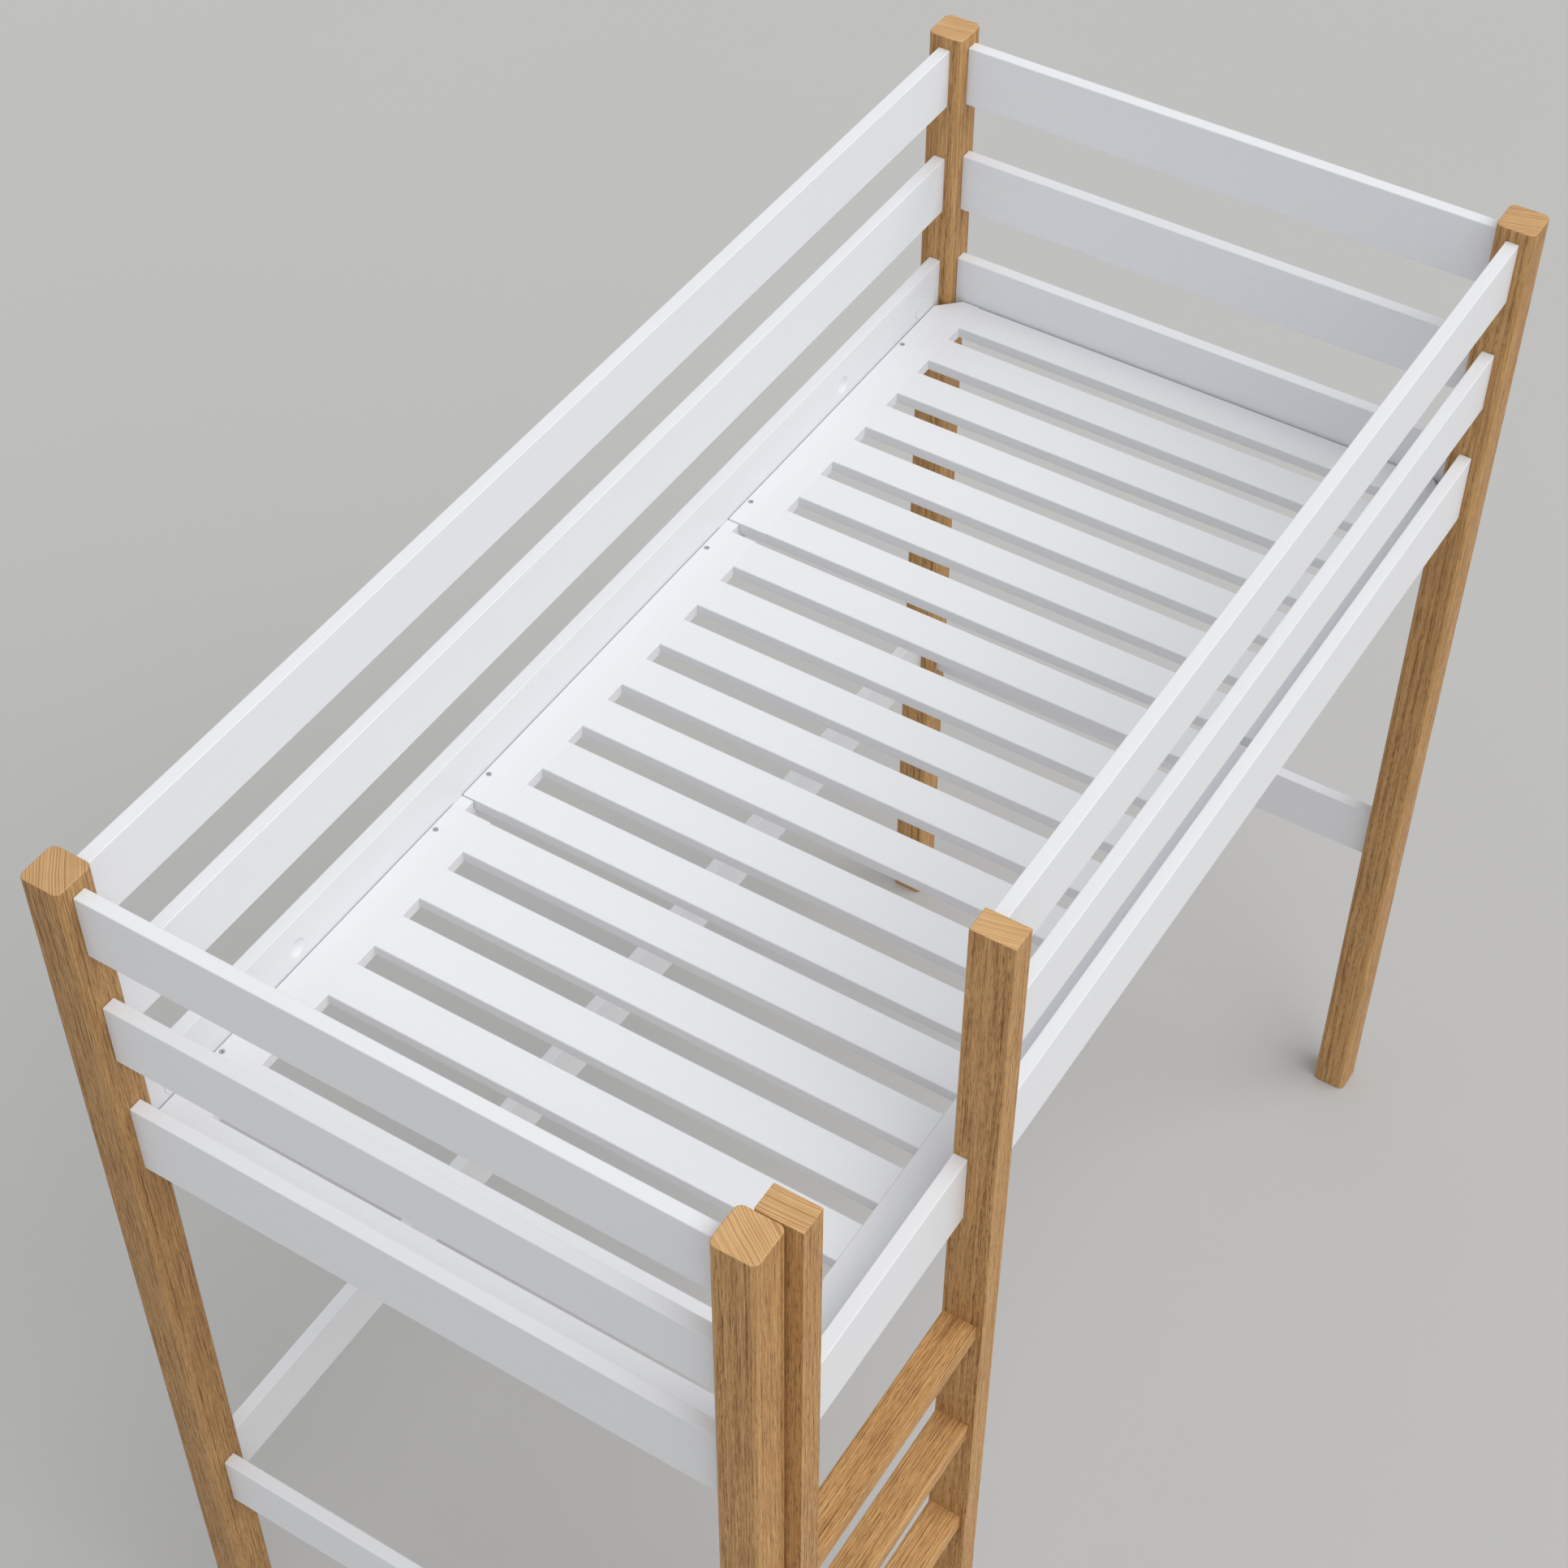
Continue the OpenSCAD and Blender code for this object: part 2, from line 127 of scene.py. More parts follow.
class BedSizes(PropertyGroup):
    """Roundings and small details; the lengths of the pieces come from the frame"""

    post_round: length("Post corners", "Rounding of the posts' upright corners", 0.010)
    post_top_round: length("Post tops", "Rounding of the posts' top edges", 0.002)
    post_foot_chamfer: length("Post feet", "Chamfer round the posts' feet", 0.001)
    board_round: length("Board edges", "Rounding of the boards' edges", 0.0016)
    upright_round: length("Upright edges", "Rounding of the ladder uprights' edges", 0.0012)
    rung_round: length("Rung edges", "Rounding of the rungs' long edges", 0.0022)
    slat_round: length("Slat edges", "Rounding of the slats' long edges", 0.0020)
    stile_round: length("Stile edges", "Rounding of the stiles' edges", 0.0009)
    corner_cut: length("Corner cut", "Leg of the cut that clears a post", 0.035)
    dish_d: length("Dishes", "Diameter of the two shallow round dishes in the low wall board", 0.030)
    dish_depth: length("Dish depth", "Depth of the dishes", 0.007)
    dish_x: length("Dish distance", "Distance of the dishes from the middle of the bed", 0.680)
    dish_drop: length("Dish drop", "Depth of their middles below the top of the board", 0.051)
    dish_rim: length("Dish rims", "Rounding of the rims of the dishes", 0.0015)
    cap_rim: length("Cap rims", "Rounding of the rims of the caps", 0.0005)
    cap_gap: length("Cap gap", "Gap round a cap in its seat", 0.00015)
    head_gap: length("Screw gap", "Gap round the head of a screw in its seat", 0.00015)
    star_depth: length("Star depth", "Depth of the six-pointed drive in the screws", 0.0016)


class BedFinishes(PropertyGroup):
    """Colours of the bed's finishes"""

    oak_light: colour("Oak, late wood", "Light wood between the pores", (0.71, 0.45, 0.215))
    oak_dark: colour("Oak, early wood", "Darker bands of early wood", (0.39, 0.195, 0.072))
    oak_pale: colour("Oak, pale lines", "Pale fine lines between the pores", (0.82, 0.60, 0.34))
    oak_oil: colour("Oak, oil", "Tint of the oil on the sides, not on end grain", (0.87, 0.80, 0.68))
    oak_pore: colour("Oak, pores", "Open pores and streaks", (0.17, 0.075, 0.027))
    paint: colour("Paint", "White satin paint", (0.80, 0.81, 0.835))
    paint_shade: colour("Paint in the grain", "Paint where it sinks into the grain", (0.74, 0.75, 0.778))
    beech: colour("Beech", "Wood of the dowels", (0.62, 0.42, 0.25))
    zinc: colour("Zinc", "Plated screws and connectors", (0.62, 0.63, 0.65))
    plastic: colour("Plastic", "Caps over the connectors", (0.80, 0.81, 0.83))
    floor: colour("Floor", "Plain pale floor", (0.50, 0.495, 0.485))


class BedStudio(PropertyGroup):
    """Camera and lights"""

    camera_at: FloatVectorProperty(
        name="Camera", description="Place of the camera", default=(-2.4204, -1.3910, 4.4043), unit="LENGTH"
    )
    camera_to: FloatVectorProperty(
        name="Target", description="Where the camera looks", default=(-0.0737, 0.0851, 1.461), unit="LENGTH"
    )
    lens: FloatProperty(name="Lens", description="Focal length of the camera in millimetres", default=67.33)
    key_strength: FloatProperty(name="Key light", description="Strength of the lamp", default=1.8, min=0)
    key_spread: FloatProperty(
        name="Softness", description="Angle that the lamp fills", default=math.radians(62), subtype="ANGLE"
    )
    sky: FloatProperty(name="Sky", description="Strength of the light from all round", default=0.63, min=0)


# ---- Meshes ----


def link(piece):
    bpy.context.scene.collection.objects.link(piece)
    return piece


def solids(node):
    """Lowest and highest corner of each separate solid of a CAD node, in order along X, Y and Z."""
    bm = bmesh.new()
    bm.from_mesh(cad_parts[node].data)
    bmesh.ops.remove_doubles(bm, verts=bm.verts, dist=WELD)
    left = set(bm.verts)
    boxes = []
    while left:
        todo = [left.pop()]
        part = []
        while todo:
            vert = todo.pop()
            part.append(vert.co.copy())
            near = {edge.other_vert(vert) for edge in vert.link_edges} & left
            left -= near
            todo.extend(near)
        lo = Vector(min(co[i] for co in part) for i in range(3))
        hi = Vector(max(co[i] for co in part) for i in range(3))
        boxes.append((lo, hi))
    bm.free()
    return sorted(boxes, key=lambda box: [round(value, 4) for value in box[0]])


def piece_from(name, bm):
    """Object at the origin that holds a finished bmesh."""
    bmesh.ops.recalc_face_normals(bm, faces=bm.faces)
    mesh = bpy.data.meshes.new(name)
    bm.to_mesh(mesh)
    bm.free()
    mesh.shade_smooth()
    return link(bpy.data.objects.new(name, mesh))


def add_bar(bm, lo, hi, edge, segments=3):
    """Bar between two corners with every edge rounded."""
    made = bmesh.ops.create_cube(bm, size=1)["verts"]
    bmesh.ops.scale(bm, vec=hi - lo, verts=made)
    bmesh.ops.translate(bm, vec=(lo + hi) / 2, verts=made)
    edges = {e for vert in made for e in vert.link_edges}
    bmesh.ops.bevel(bm, geom=list(edges), offset=edge, segments=segments, profile=0.5, affect="EDGES")


def bar(name, lo, hi, edge):
    bm = bmesh.new()
    add_bar(bm, lo, hi, edge)
    return piece_from(name, bm)


def rounded_square(half, radius):
    """Points round a square with round corners, centred."""
    points = []
    middle = Vector((half - radius, half - radius))
    for corner in range(4):
        turn = math.radians(90 * corner)
        for step in range(CORNER_STEPS + 1):
            angle = math.radians(90 * step / CORNER_STEPS)
            point = middle + radius * Vector((math.cos(angle), math.sin(angle)))
            points.append(Matrix.Rotation(turn, 2) @ point)
    return points


def loft(bm, rings):
    """Closed skin over rings of equally many points, flat at both ends."""
    loops = [[bm.verts.new(co) for co in ring] for ring in rings]
    count = len(loops[0])
    for low, high in zip(loops, loops[1:]):
        for i in range(count):
            j = (i + 1) % count
            bm.faces.new((low[i], low[j], high[j], high[i]))
    bm.faces.new(loops[0][::-1])
    bm.faces.new(loops[-1])


def quarter_turn(steps=QUARTER_STEPS):
    """Angles from nothing to 90 degrees."""
    return [math.radians(90 * i / steps) for i in range(steps + 1)]


def lathe(bm, profile, at, aim):
    """Solid of revolution: profile holds (radius, height along aim) from one end to the other."""
    turn = Vector(aim).to_track_quat("Z", "Y").to_matrix()
    angles = [2 * math.pi * i / LATHE_STEPS for i in range(LATHE_STEPS)]
    rings = []
    for radius, height in profile:
        ring = [Vector((radius * math.cos(a), radius * math.sin(a), height)) for a in angles]
        rings.append([Vector(at) + turn @ co for co in ring])
    loft(bm, rings)


def cut(piece, tool):
    """Takes the tool's closed shape away from the piece, and removes the tool."""
    boolean = piece.modifiers.new("Cut", "BOOLEAN")
    boolean.operation = "DIFFERENCE"
    boolean.solver = "EXACT"
    boolean.object = tool
    depsgraph = bpy.context.evaluated_depsgraph_get()
    mesh = bpy.data.meshes.new_from_object(piece.evaluated_get(depsgraph))
    piece.modifiers.clear()
    piece.data = mesh
    bpy.data.objects.remove(tool)


def hole_tool(name, holes, rim):
    """Cutter for round blind holes with rounded rims, each (middle, axis outwards, radius, depth)."""
    bm = bmesh.new()
    for at, aim, radius, depth in holes:
        flare = [(radius + rim * (1 - math.cos(a)), rim * (math.sin(a) - 1)) for a in quarter_turn()]
        lathe(bm, [(radius, -depth), *flare, (radius + rim, CUTTER_ABOVE)], at, aim)
    return piece_from(name, bm)


def mark_fibre(piece, along):
    """Notes which way the fibres of the piece run, so that its ends show end grain."""
    axis = [1.0 if i == along else 0.0 for i in range(3)]
    fibre = piece.data.attributes.new("fibre", "FLOAT_VECTOR", "POINT")
    fibre.data.foreach_set("vector", axis * len(piece.data.vertices))


def dish_tool(name, dishes, radius, depth, rim):
    """Cutter for shallow round dishes with softened rims, each (middle on the face, axis outwards)."""
    ball = (radius**2 + depth**2) / (2 * depth)
    reach = ball + rim
    edge = math.sqrt(reach**2 - (reach - depth) ** 2)
    tilt = math.asin(edge / reach)
    hollow = [tilt * (i + 0.1) / 8.1 for i in range(9)]
    lip = [tilt * (1 - i / 4) for i in range(1, 5)]
    profile = [(ball * math.sin(a), ball * (1 - math.cos(a)) - depth) for a in hollow]
    profile += [(edge - rim * math.sin(a), rim * (math.cos(a) - 1)) for a in lip]
    bm = bmesh.new()
    for at, aim in dishes:
        lathe(bm, [*profile, (edge, CUTTER_ABOVE)], at, aim)
    return piece_from(name, bm)


def set_grain(piece, along, heart=None, tone=None):
    """Gives each point its place along the grain and across it from the heart, and the piece a tone."""
    heart = heart or (dice.uniform(0.08, 0.2), dice.uniform(-0.2, 0.2))
    tone = dice.random() if tone is None else tone
    shift = dice.uniform(-20, 20)
    verts = piece.data.vertices
    lo = [min(v.co[i] for v in verts) for i in range(3)]
    hi = [max(v.co[i] for v in verts) for i in range(3)]
    middle = [(a + b) / 2 for a, b in zip(lo, hi)]
    side, up = ACROSS[along]
    grain = []
    for vert in verts:
        off = [vert.co[k] - middle[k] for k in range(3)]
        grain += (off[along] + shift, off[side] - heart[0], off[up] - heart[1])
    attributes = piece.data.attributes
    attributes.new("grain", "FLOAT_VECTOR", "POINT").data.foreach_set("vector", grain)
    attributes.new("tone", "FLOAT", "POINT").data.foreach_set("value", [tone] * len(verts))
    mark_fibre(piece, along)
    return piece


def finish_piece(piece, material, nodes):
    """Last steps for every piece: even shading, material, body and the nodes that it stands for."""
    piece.data.materials.clear()
    piece.data.materials.append(material)
    weighted = piece.modifiers.new("Even shading", "WEIGHTED_NORMAL")
    weighted.keep_sharp = True
    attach(piece, "root")
    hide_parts(*nodes)
    return piece


# ---- Node trees ----


def put(tree, kind, inputs=None, **settings):
    """Adds a node. Inputs are values or other nodes' outputs, by socket name or number."""
    node = tree.nodes.new(kind)
    node.location = (190 * (len(tree.nodes) % 12), -260 * (len(tree.nodes) // 12))
    for name, value in settings.items():
        setattr(node, name, value)
    for key, value in (inputs or {}).items():
        socket = node.inputs[key]
        if isinstance(value, bpy.types.NodeSocket):
            tree.links.new(value, socket)
        else:
            socket.default_value = value
    return node


def first(tree, kind, inputs=None, **settings):
    """Adds a node and gives its first output."""
    return put(tree, kind, inputs, **settings).outputs[0]


def sockets(tree, inputs, outputs):
    """Makes the named sockets of a group: (name, type) or (name, type, default)."""
    for name, kind, *default in inputs:
        socket = tree.interface.new_socket(name=name, in_out="INPUT", socket_type="NodeSocket" + kind)
        if default:
            socket.default_value = default[0]
    for name, kind in outputs:
        tree.interface.new_socket(name=name, in_out="OUTPUT", socket_type="NodeSocket" + kind)
    return tree.nodes.new("NodeGroupInput").outputs


def math_of(tree, operation, a, b=0.0, c=0.0, clamp=False):
    return first(tree, "ShaderNodeMath", {0: a, 1: b, 2: c}, operation=operation, use_clamp=clamp)


def times(tree, a, b, plus=None, clamp=False):
    """Product of a and b, with a third value added where one is given."""
    if plus is None:
        return math_of(tree, "MULTIPLY", a, b)
    return math_of(tree, "MULTIPLY_ADD", a, b, plus, clamp)


def lengthwise(tree, value):
    """Vector of that length along Z."""
    return first(tree, "ShaderNodeCombineXYZ", {"Z": value})


def cells(kind, *names):
    """Sockets of one type for a group."""
    return [(name, kind) for name in names]


def node_group(name, kind, inputs, outputs, fill):
    """Node group of that name, built by fill the first time that it is asked for."""
    tree = bpy.data.node_groups.get(name)
    if not tree:
        tree = bpy.data.node_groups.new(name, kind)
        given = sockets(tree, inputs, outputs)
        put(tree, "NodeGroupOutput", fill(tree, given))
    return tree


def geometry_group(name, inputs, fill):
    """Geometry Nodes group that ends in smooth shading and the given material."""

    def fill_and_finish(tree, given):
        smooth = first(tree, "GeometryNodeSetShadeSmooth", {"Geometry": fill(tree, given)})
        coloured = {"Geometry": smooth, "Material": given["Material"]}
        return {"Geometry": first(tree, "GeometryNodeSetMaterial", coloured)}

    ends = [*cells("Int", "Seed"), *cells("Material", "Material")]
    geometry = cells("Geometry", "Geometry")
    return node_group(name, "GeometryNodeTree", [*geometry, *inputs, *ends], geometry, fill_and_finish)


def vector_of(tree, operation, a, b):
    return first(tree, "ShaderNodeVectorMath", {0: a, 1: b}, operation=operation)


def ramp(tree, value, start, end, low=0.0, high=1.0):
    """Smooth step from low to high as the value goes from start to end."""
    inputs = {"Value": value, "From Min": start, "From Max": end, "To Min": low, "To Max": high}
    return first(tree, "ShaderNodeMapRange", inputs, interpolation_type="SMOOTHSTEP")


def noise(tree, vector, stretch, detail=2.0, roughness=0.5):
    """Noise in 3D whose cells are 1/stretch metres long, wide and deep."""
    inputs = {"Vector": vector_of(tree, "MULTIPLY", vector, stretch), "Scale": 1.0}
    inputs |= {"Detail": detail, "Roughness": roughness}
    return first(tree, "ShaderNodeTexNoise", inputs)


def mix(tree, share, a, b, blend="MIX"):
    inputs = {0: share, 6: a, 7: b}
    return put(tree, "ShaderNodeMix", inputs, data_type="RGBA", blend_type=blend).outputs[2]


def grow(name, tree, values, points=(), aims=()):
    """Runs a Geometry Nodes tree over points and returns its result as a plain object."""
    base = bpy.data.meshes.new(name + "_points")
    base.from_pydata([tuple(p) for p in points], [], [])
    if aims:
        aim = base.attributes.new("aim", "FLOAT_VECTOR", "POINT")
        for i, direction in enumerate(aims):
            aim.data[i].vector = direction
    holder = link(bpy.data.objects.new(name + "_points", base))
    modifier = holder.modifiers.new("Grow", "NODES")
    modifier.node_group = tree
    for item in tree.interface.items_tree:
        if item.in_out == "INPUT" and item.name in values:
            modifier[item.identifier] = values[item.name]
    depsgraph = bpy.context.evaluated_depsgraph_get()
    mesh = bpy.data.meshes.new_from_object(holder.evaluated_get(depsgraph))
    holder.modifiers.clear()
    bpy.data.objects.remove(holder)
    mesh.name = name
    return link(bpy.data.objects.new(name, mesh))


def stored(tree, geometry, name, value, kind, domain="POINT"):
    inputs = {"Geometry": geometry, "Name": name, "Value": value}
    return first(tree, "GeometryNodeStoreNamedAttribute", inputs, data_type=kind, domain=domain)


def named(tree, name, kind):
    return first(tree, "GeometryNodeInputNamedAttribute", {"Name": name}, data_type=kind)


def fill_bar_row(tree, given):
    """Row of equal bars with round long edges, each cut from a different board."""
    size = {"Width": given["Bar Width"], "Height": given["Bar Thickness"]}
    outline = first(tree, "GeometryNodeCurvePrimitiveQuadrilateral", size)
    rounding = {"Curve": outline, "Count": 3, "Radius": given["Edge Round"], "Limit Radius": True}
    section = first(tree, "GeometryNodeFilletCurve", rounding, mode="POLY")
    end = lengthwise(tree, times(tree, given["Bar Length"], 0.5))
    start = vector_of(tree, "MULTIPLY", end, (-1, -1, -1))
    path = first(tree, "GeometryNodeCurvePrimitiveLine", {"Start": start, "End": end})
    sweep = {"Curve": path, "Profile Curve": section, "Fill Caps": True}
    swept = first(tree, "GeometryNodeCurveToMesh", sweep)
    lay_down = {"Geometry": swept, "Rotation": (math.radians(90), 0, math.radians(90))}
    laid = first(tree, "GeometryNodeTransform", lay_down)
    place = first(tree, "GeometryNodeInputPosition")
    from_heart = vector_of(tree, "SUBTRACT", place, given["Heart"])
    one = stored(tree, laid, "grain", from_heart, "FLOAT_VECTOR")
    line = {"Count": given["Count"], "Start Location": given["First Middle"], "Offset": given["Step"]}
    row = first(tree, "GeometryNodeMeshLine", line)
    turned = {"Points": row, "Instance": one, "Rotation": given["Turn"]}
    copies = first(tree, "GeometryNodeInstanceOnPoints", turned)
    least = vector_of(tree, "MULTIPLY", given["Heart Spread"], (-1, -1, -1))
    span = {"Min": least, "Max": given["Heart Spread"], "Seed": given["Seed"]}
    shift = first(tree, "FunctionNodeRandomValue", span, data_type="FLOAT_VECTOR")
    shifted = stored(tree, copies, "shift", shift, "FLOAT_VECTOR", "INSTANCE")
    draw = {2: given["Least Tone"], 3: 1.0, "Seed": given["Seed"]}
    tone = put(tree, "FunctionNodeRandomValue", draw, data_type="FLOAT").outputs[1]
    toned = stored(tree, shifted, "tone", tone, "FLOAT", "INSTANCE")
    real = first(tree, "GeometryNodeRealizeInstances", {"Geometry": toned})
    lain = named(tree, "grain", "FLOAT_VECTOR")
    moved = vector_of(tree, "ADD", lain, named(tree, "shift", "FLOAT_VECTOR"))
    return stored(tree, real, "grain", moved, "FLOAT_VECTOR")


def bar_row_tree():
    inputs = [
        *cells("Float", "Bar Length", "Bar Width", "Bar Thickness", "Edge Round", "Least Tone"),
        *cells("Int", "Count"),
        *cells("Vector", "First Middle", "Step", "Turn", "Heart", "Heart Spread"),
    ]
    return geometry_group("Row of Bars", inputs, fill_bar_row)


def aimed_copies(tree, given, one):
    """Copies of one shape on the points, their Z turned to each point's aim with a random spin, made real."""
    aim = {"Vector": named(tree, "aim", "FLOAT_VECTOR")}
    faced = first(tree, "FunctionNodeAlignRotationToVector", aim, axis="Z")
    full_turn = {"Min": (0, 0, 0), "Max": (0, 0, 2 * math.pi), "Seed": given["Seed"]}
    spin = first(tree, "FunctionNodeRandomValue", full_turn, data_type="FLOAT_VECTOR")
    both = {"Rotation": faced, "Rotate By": spin}
    turn = first(tree, "FunctionNodeRotateRotation", both, rotation_space="LOCAL")
    placed = {"Points": given["Geometry"], "Instance": one, "Rotation": turn}
    copies = first(tree, "GeometryNodeInstanceOnPoints", placed)
    return first(tree, "GeometryNodeRealizeInstances", {"Geometry": copies})


def fill_screws(tree, given):
    """Countersunk screws with a six-pointed drive, each turned as far as it happened to be driven."""
    head_r = times(tree, given["Head Diameter"], 0.5)
    shank_r = times(tree, given["Shank Diameter"], 0.5)
    tip_r = times(tree, shank_r, 0.75)
    height = given["Head Height"]
    full = given["Screw Length"]
    rest = math_of(tree, "SUBTRACT", full, height)
    cones = []
    for top, bottom, depth, drop in ((head_r, shank_r, height, height), (shank_r, tip_r, rest, full)):
        cone = {"Vertices": SCREW_STEPS, "Radius Top": top, "Radius Bottom": bottom, "Depth": depth}
        low = lengthwise(tree, times(tree, drop, -1.0))
        lowered = {"Geometry": first(tree, "GeometryNodeMeshCone", cone), "Translation": low}
        cones.append(first(tree, "GeometryNodeTransform", lowered))
    head, shank = cones
    tips = times(tree, given["Head Diameter"], STAR_TIPS)
    waist = times(tree, given["Head Diameter"], STAR_WAIST)
    points = {"Points": STAR_POINTS, "Inner Radius": waist, "Outer Radius": tips}
    star = first(tree, "GeometryNodeCurveStar", points)
    deep = lengthwise(tree, times(tree, given["Star Depth"], -1.0))
    line = {"Start": deep, "End": lengthwise(tree, given["Star Depth"])}
    path = first(tree, "GeometryNodeCurvePrimitiveLine", line)
    drive = {"Curve": path, "Profile Curve": star, "Fill Caps": True}
    bit = first(tree, "GeometryNodeCurveToMesh", drive)
    cutting = {"Mesh 1": head, "Mesh 2": bit}
    slotted = first(tree, "GeometryNodeMeshBoolean", cutting, operation="DIFFERENCE")
    whole = put(tree, "GeometryNodeJoinGeometry")
    for part in (slotted, shank):
        tree.links.new(part, whole.inputs[0])
    return aimed_copies(tree, given, whole.outputs[0])


def screw_tree():
    sizes = ("Head Diameter", "Head Height", "Shank Diameter", "Screw Length", "Star Depth")
    return geometry_group("Screws on Points", cells("Float", *sizes), fill_screws)


def fill_caps(tree, given):
    """Flat round caps with a softly rounded rim."""
    radius = times(tree, given["Diameter"], 0.5)
    wall = math_of(tree, "SUBTRACT", given["Thickness"], given["Rim Round"])
    drum = {"Vertices": CAP_STEPS, "Radius": radius, "Depth": wall}
    drum = put(tree, "GeometryNodeMeshCylinder", drum).outputs["Mesh"]
    up = lengthwise(tree, times(tree, wall, 0.5))
    body = first(tree, "GeometryNodeTransform", {"Geometry": drum, "Translation": up})
    facing = first(tree, "GeometryNodeInputNormal")
    height = put(tree, "ShaderNodeSeparateXYZ", {0: facing}).outputs[2]
    top = first(tree, "FunctionNodeCompare", {0: height, 1: 0.9}, operation="GREATER_THAN")
    smaller = math_of(tree, "DIVIDE", given["Rim Round"], radius)
    for rise, inset in ((0.7, 0.3), (0.3, 0.7)):
        step = times(tree, given["Rim Round"], rise)
        raised = {"Mesh": body, "Selection": top, "Offset Scale": step, "Individual": False}
        extruded = put(tree, "GeometryNodeExtrudeMesh", raised)
        scale = times(tree, smaller, -inset, 1.0)
        shrink = {"Geometry": extruded.outputs[0], "Selection": extruded.outputs[1], "Scale": scale}
        body = first(tree, "GeometryNodeScaleElements", shrink)
        top = extruded.outputs[1]
    return aimed_copies(tree, given, body)


def cap_tree():
    return geometry_group("Caps on Points", cells("Float", "Diameter", "Thickness", "Rim Round"), fill_caps)


# ---- Finishes ----


def opaque(rgb, by=1.0):
    """Colour with its alpha, darkened by a factor."""
    return (*(by * value for value in rgb), 1.0)


def attribute(tree, name, output):
    return put(tree, "ShaderNodeAttribute", attribute_name=name).outputs[output]


def object_place(tree):
    return put(tree, "ShaderNodeTexCoord").outputs["Object"]


def bump(tree, height, distance, strength=1.0):
    inputs = {"Height": height, "Distance": distance, "Strength": strength}
    return first(tree, "ShaderNodeBump", inputs)


def use_group(tree, name, inputs, outputs, fill):
    """Puts a shared shader group into a material."""
    group = node_group(name, "ShaderNodeTree", inputs, outputs, fill)
    return put(tree, "ShaderNodeGroup", node_tree=group)


def fill_edge_mask(tree, given):
    """One on roundings and arrises, nothing on the flat faces."""
    normal = put(tree, "ShaderNodeNewGeometry").outputs["Normal"]
    sides = put(tree, "ShaderNodeSeparateXYZ", {0: vector_of(tree, "ABSOLUTE", normal, (0, 0, 0))}).outputs
    widest = math_of(tree, "MAXIMUM", math_of(tree, "MAXIMUM", sides[0], sides[1]), sides[2])
    return {"Edge": ramp(tree, widest, 0.995, 0.90)}


def edge_mask(tree):
    return use_group(tree, "Edge Mask", [], cells("Float", "Edge"), fill_edge_mask).outputs[0]


def fill_end_mask(tree, given):
    """One where the surface cuts across the fibres."""
    normal = put(tree, "ShaderNodeNewGeometry").outputs["Normal"]
    both = {0: normal, 1: given["Fibre"]}
    facing = put(tree, "ShaderNodeVectorMath", both, operation="DOT_PRODUCT").outputs[1]
    return {"End": ramp(tree, math_of(tree, "ABSOLUTE", facing), 0.55, 0.9)}


def fill_wood_grain(tree, given):
    """Growth rings round the heart, with fibres, pores and streaks drawn out along the grain."""
    grain = given["Grain"]
    side = math_of(tree, "SUBTRACT", 1.0, given["End"])
    broad = noise(tree, grain, (2.2, 14, 14), 2)
    close = noise(tree, grain, (13, 45, 45), 2)
    ragged = noise(tree, grain, (60, 300, 300), 2)
    axes = put(tree, "ShaderNodeSeparateXYZ", {0: grain}).outputs
    flat = first(tree, "ShaderNodeCombineXYZ", {"Y": axes[1], "Z": axes[2]})
    radius = put(tree, "ShaderNodeVectorMath", {0: flat}, operation="LENGTH").outputs[1]
    drift, wave, rough = (
        times(tree, math_of(tree, "SUBTRACT", texture, 0.5), given[reach])
        for texture, reach in ((broad, "Drift"), (close, "Wave"), (ragged, "Ragged"))
    )
    rough = times(tree, rough, side)
    bent = math_of(tree, "ADD", math_of(tree, "ADD", radius, rough), math_of(tree, "ADD", drift, wave))
    turns = math_of(tree, "DIVIDE", bent, given["Ring Width"])
    years = put(tree, "ShaderNodeTexNoise", {"W": turns, "Scale": 0.45, "Detail": 1.0}, noise_dimensions="1D")
    uneven = times(tree, years.outputs[0], 1.6, turns)
    phase = math_of(tree, "FRACT", uneven)
    rise = ramp(tree, phase, 0.0, 0.12)
    fall = ramp(tree, phase, 0.18, 0.60, 1.0, 0.0)
    early = times(tree, rise, fall)
    year = put(tree, "ShaderNodeTexWhiteNoise", {"W": math_of(tree, "FLOOR", uneven)}, noise_dimensions="1D")
    bold = times(tree, year.outputs[0], 0.5, 0.5)
    thin = put(tree, "ShaderNodeTexNoise", {"W": turns, "Scale": 3.1, "Detail": 2.0}, noise_dimensions="1D")
    lines = times(tree, ramp(tree, thin.outputs[0], 0.50, 0.66), 0.6)
    band = math_of(tree, "MAXIMUM", times(tree, early, bold), lines)
    fibre = ramp(tree, noise(tree, grain, (15, 850, 850), 3, 0.6), 0.38, 0.64)
    streaks = ramp(tree, noise(tree, grain, (8, 360, 360), 3, 0.6), 0.50, 0.64)
    pores = ramp(tree, noise(tree, grain, (55, 1150, 1150), 1), 0.54, 0.60)
    pale = ramp(tree, noise(tree, grain, (9, 640, 640), 2, 0.6), 0.54, 0.66)
    cloud = ramp(tree, noise(tree, grain, (1.3, 22, 22), 2), 0.3, 0.7)
    open_pores = times(tree, pores, times(tree, band, 0.65, 0.35))
    dark = times(tree, streaks, times(tree, band, 0.6, 0.4))
    return {
        "Band": times(tree, band, times(tree, given["End"], 0.45, 0.55)),
        "Fibre": times(tree, fibre, side),
        "Pale": times(tree, pale, side),
        "Streaks": times(tree, dark, side),
        "Pores": times(tree, open_pores, times(tree, side, 0.8, 0.2)),
        "Cloud": cloud,
        "Side": side,
    }


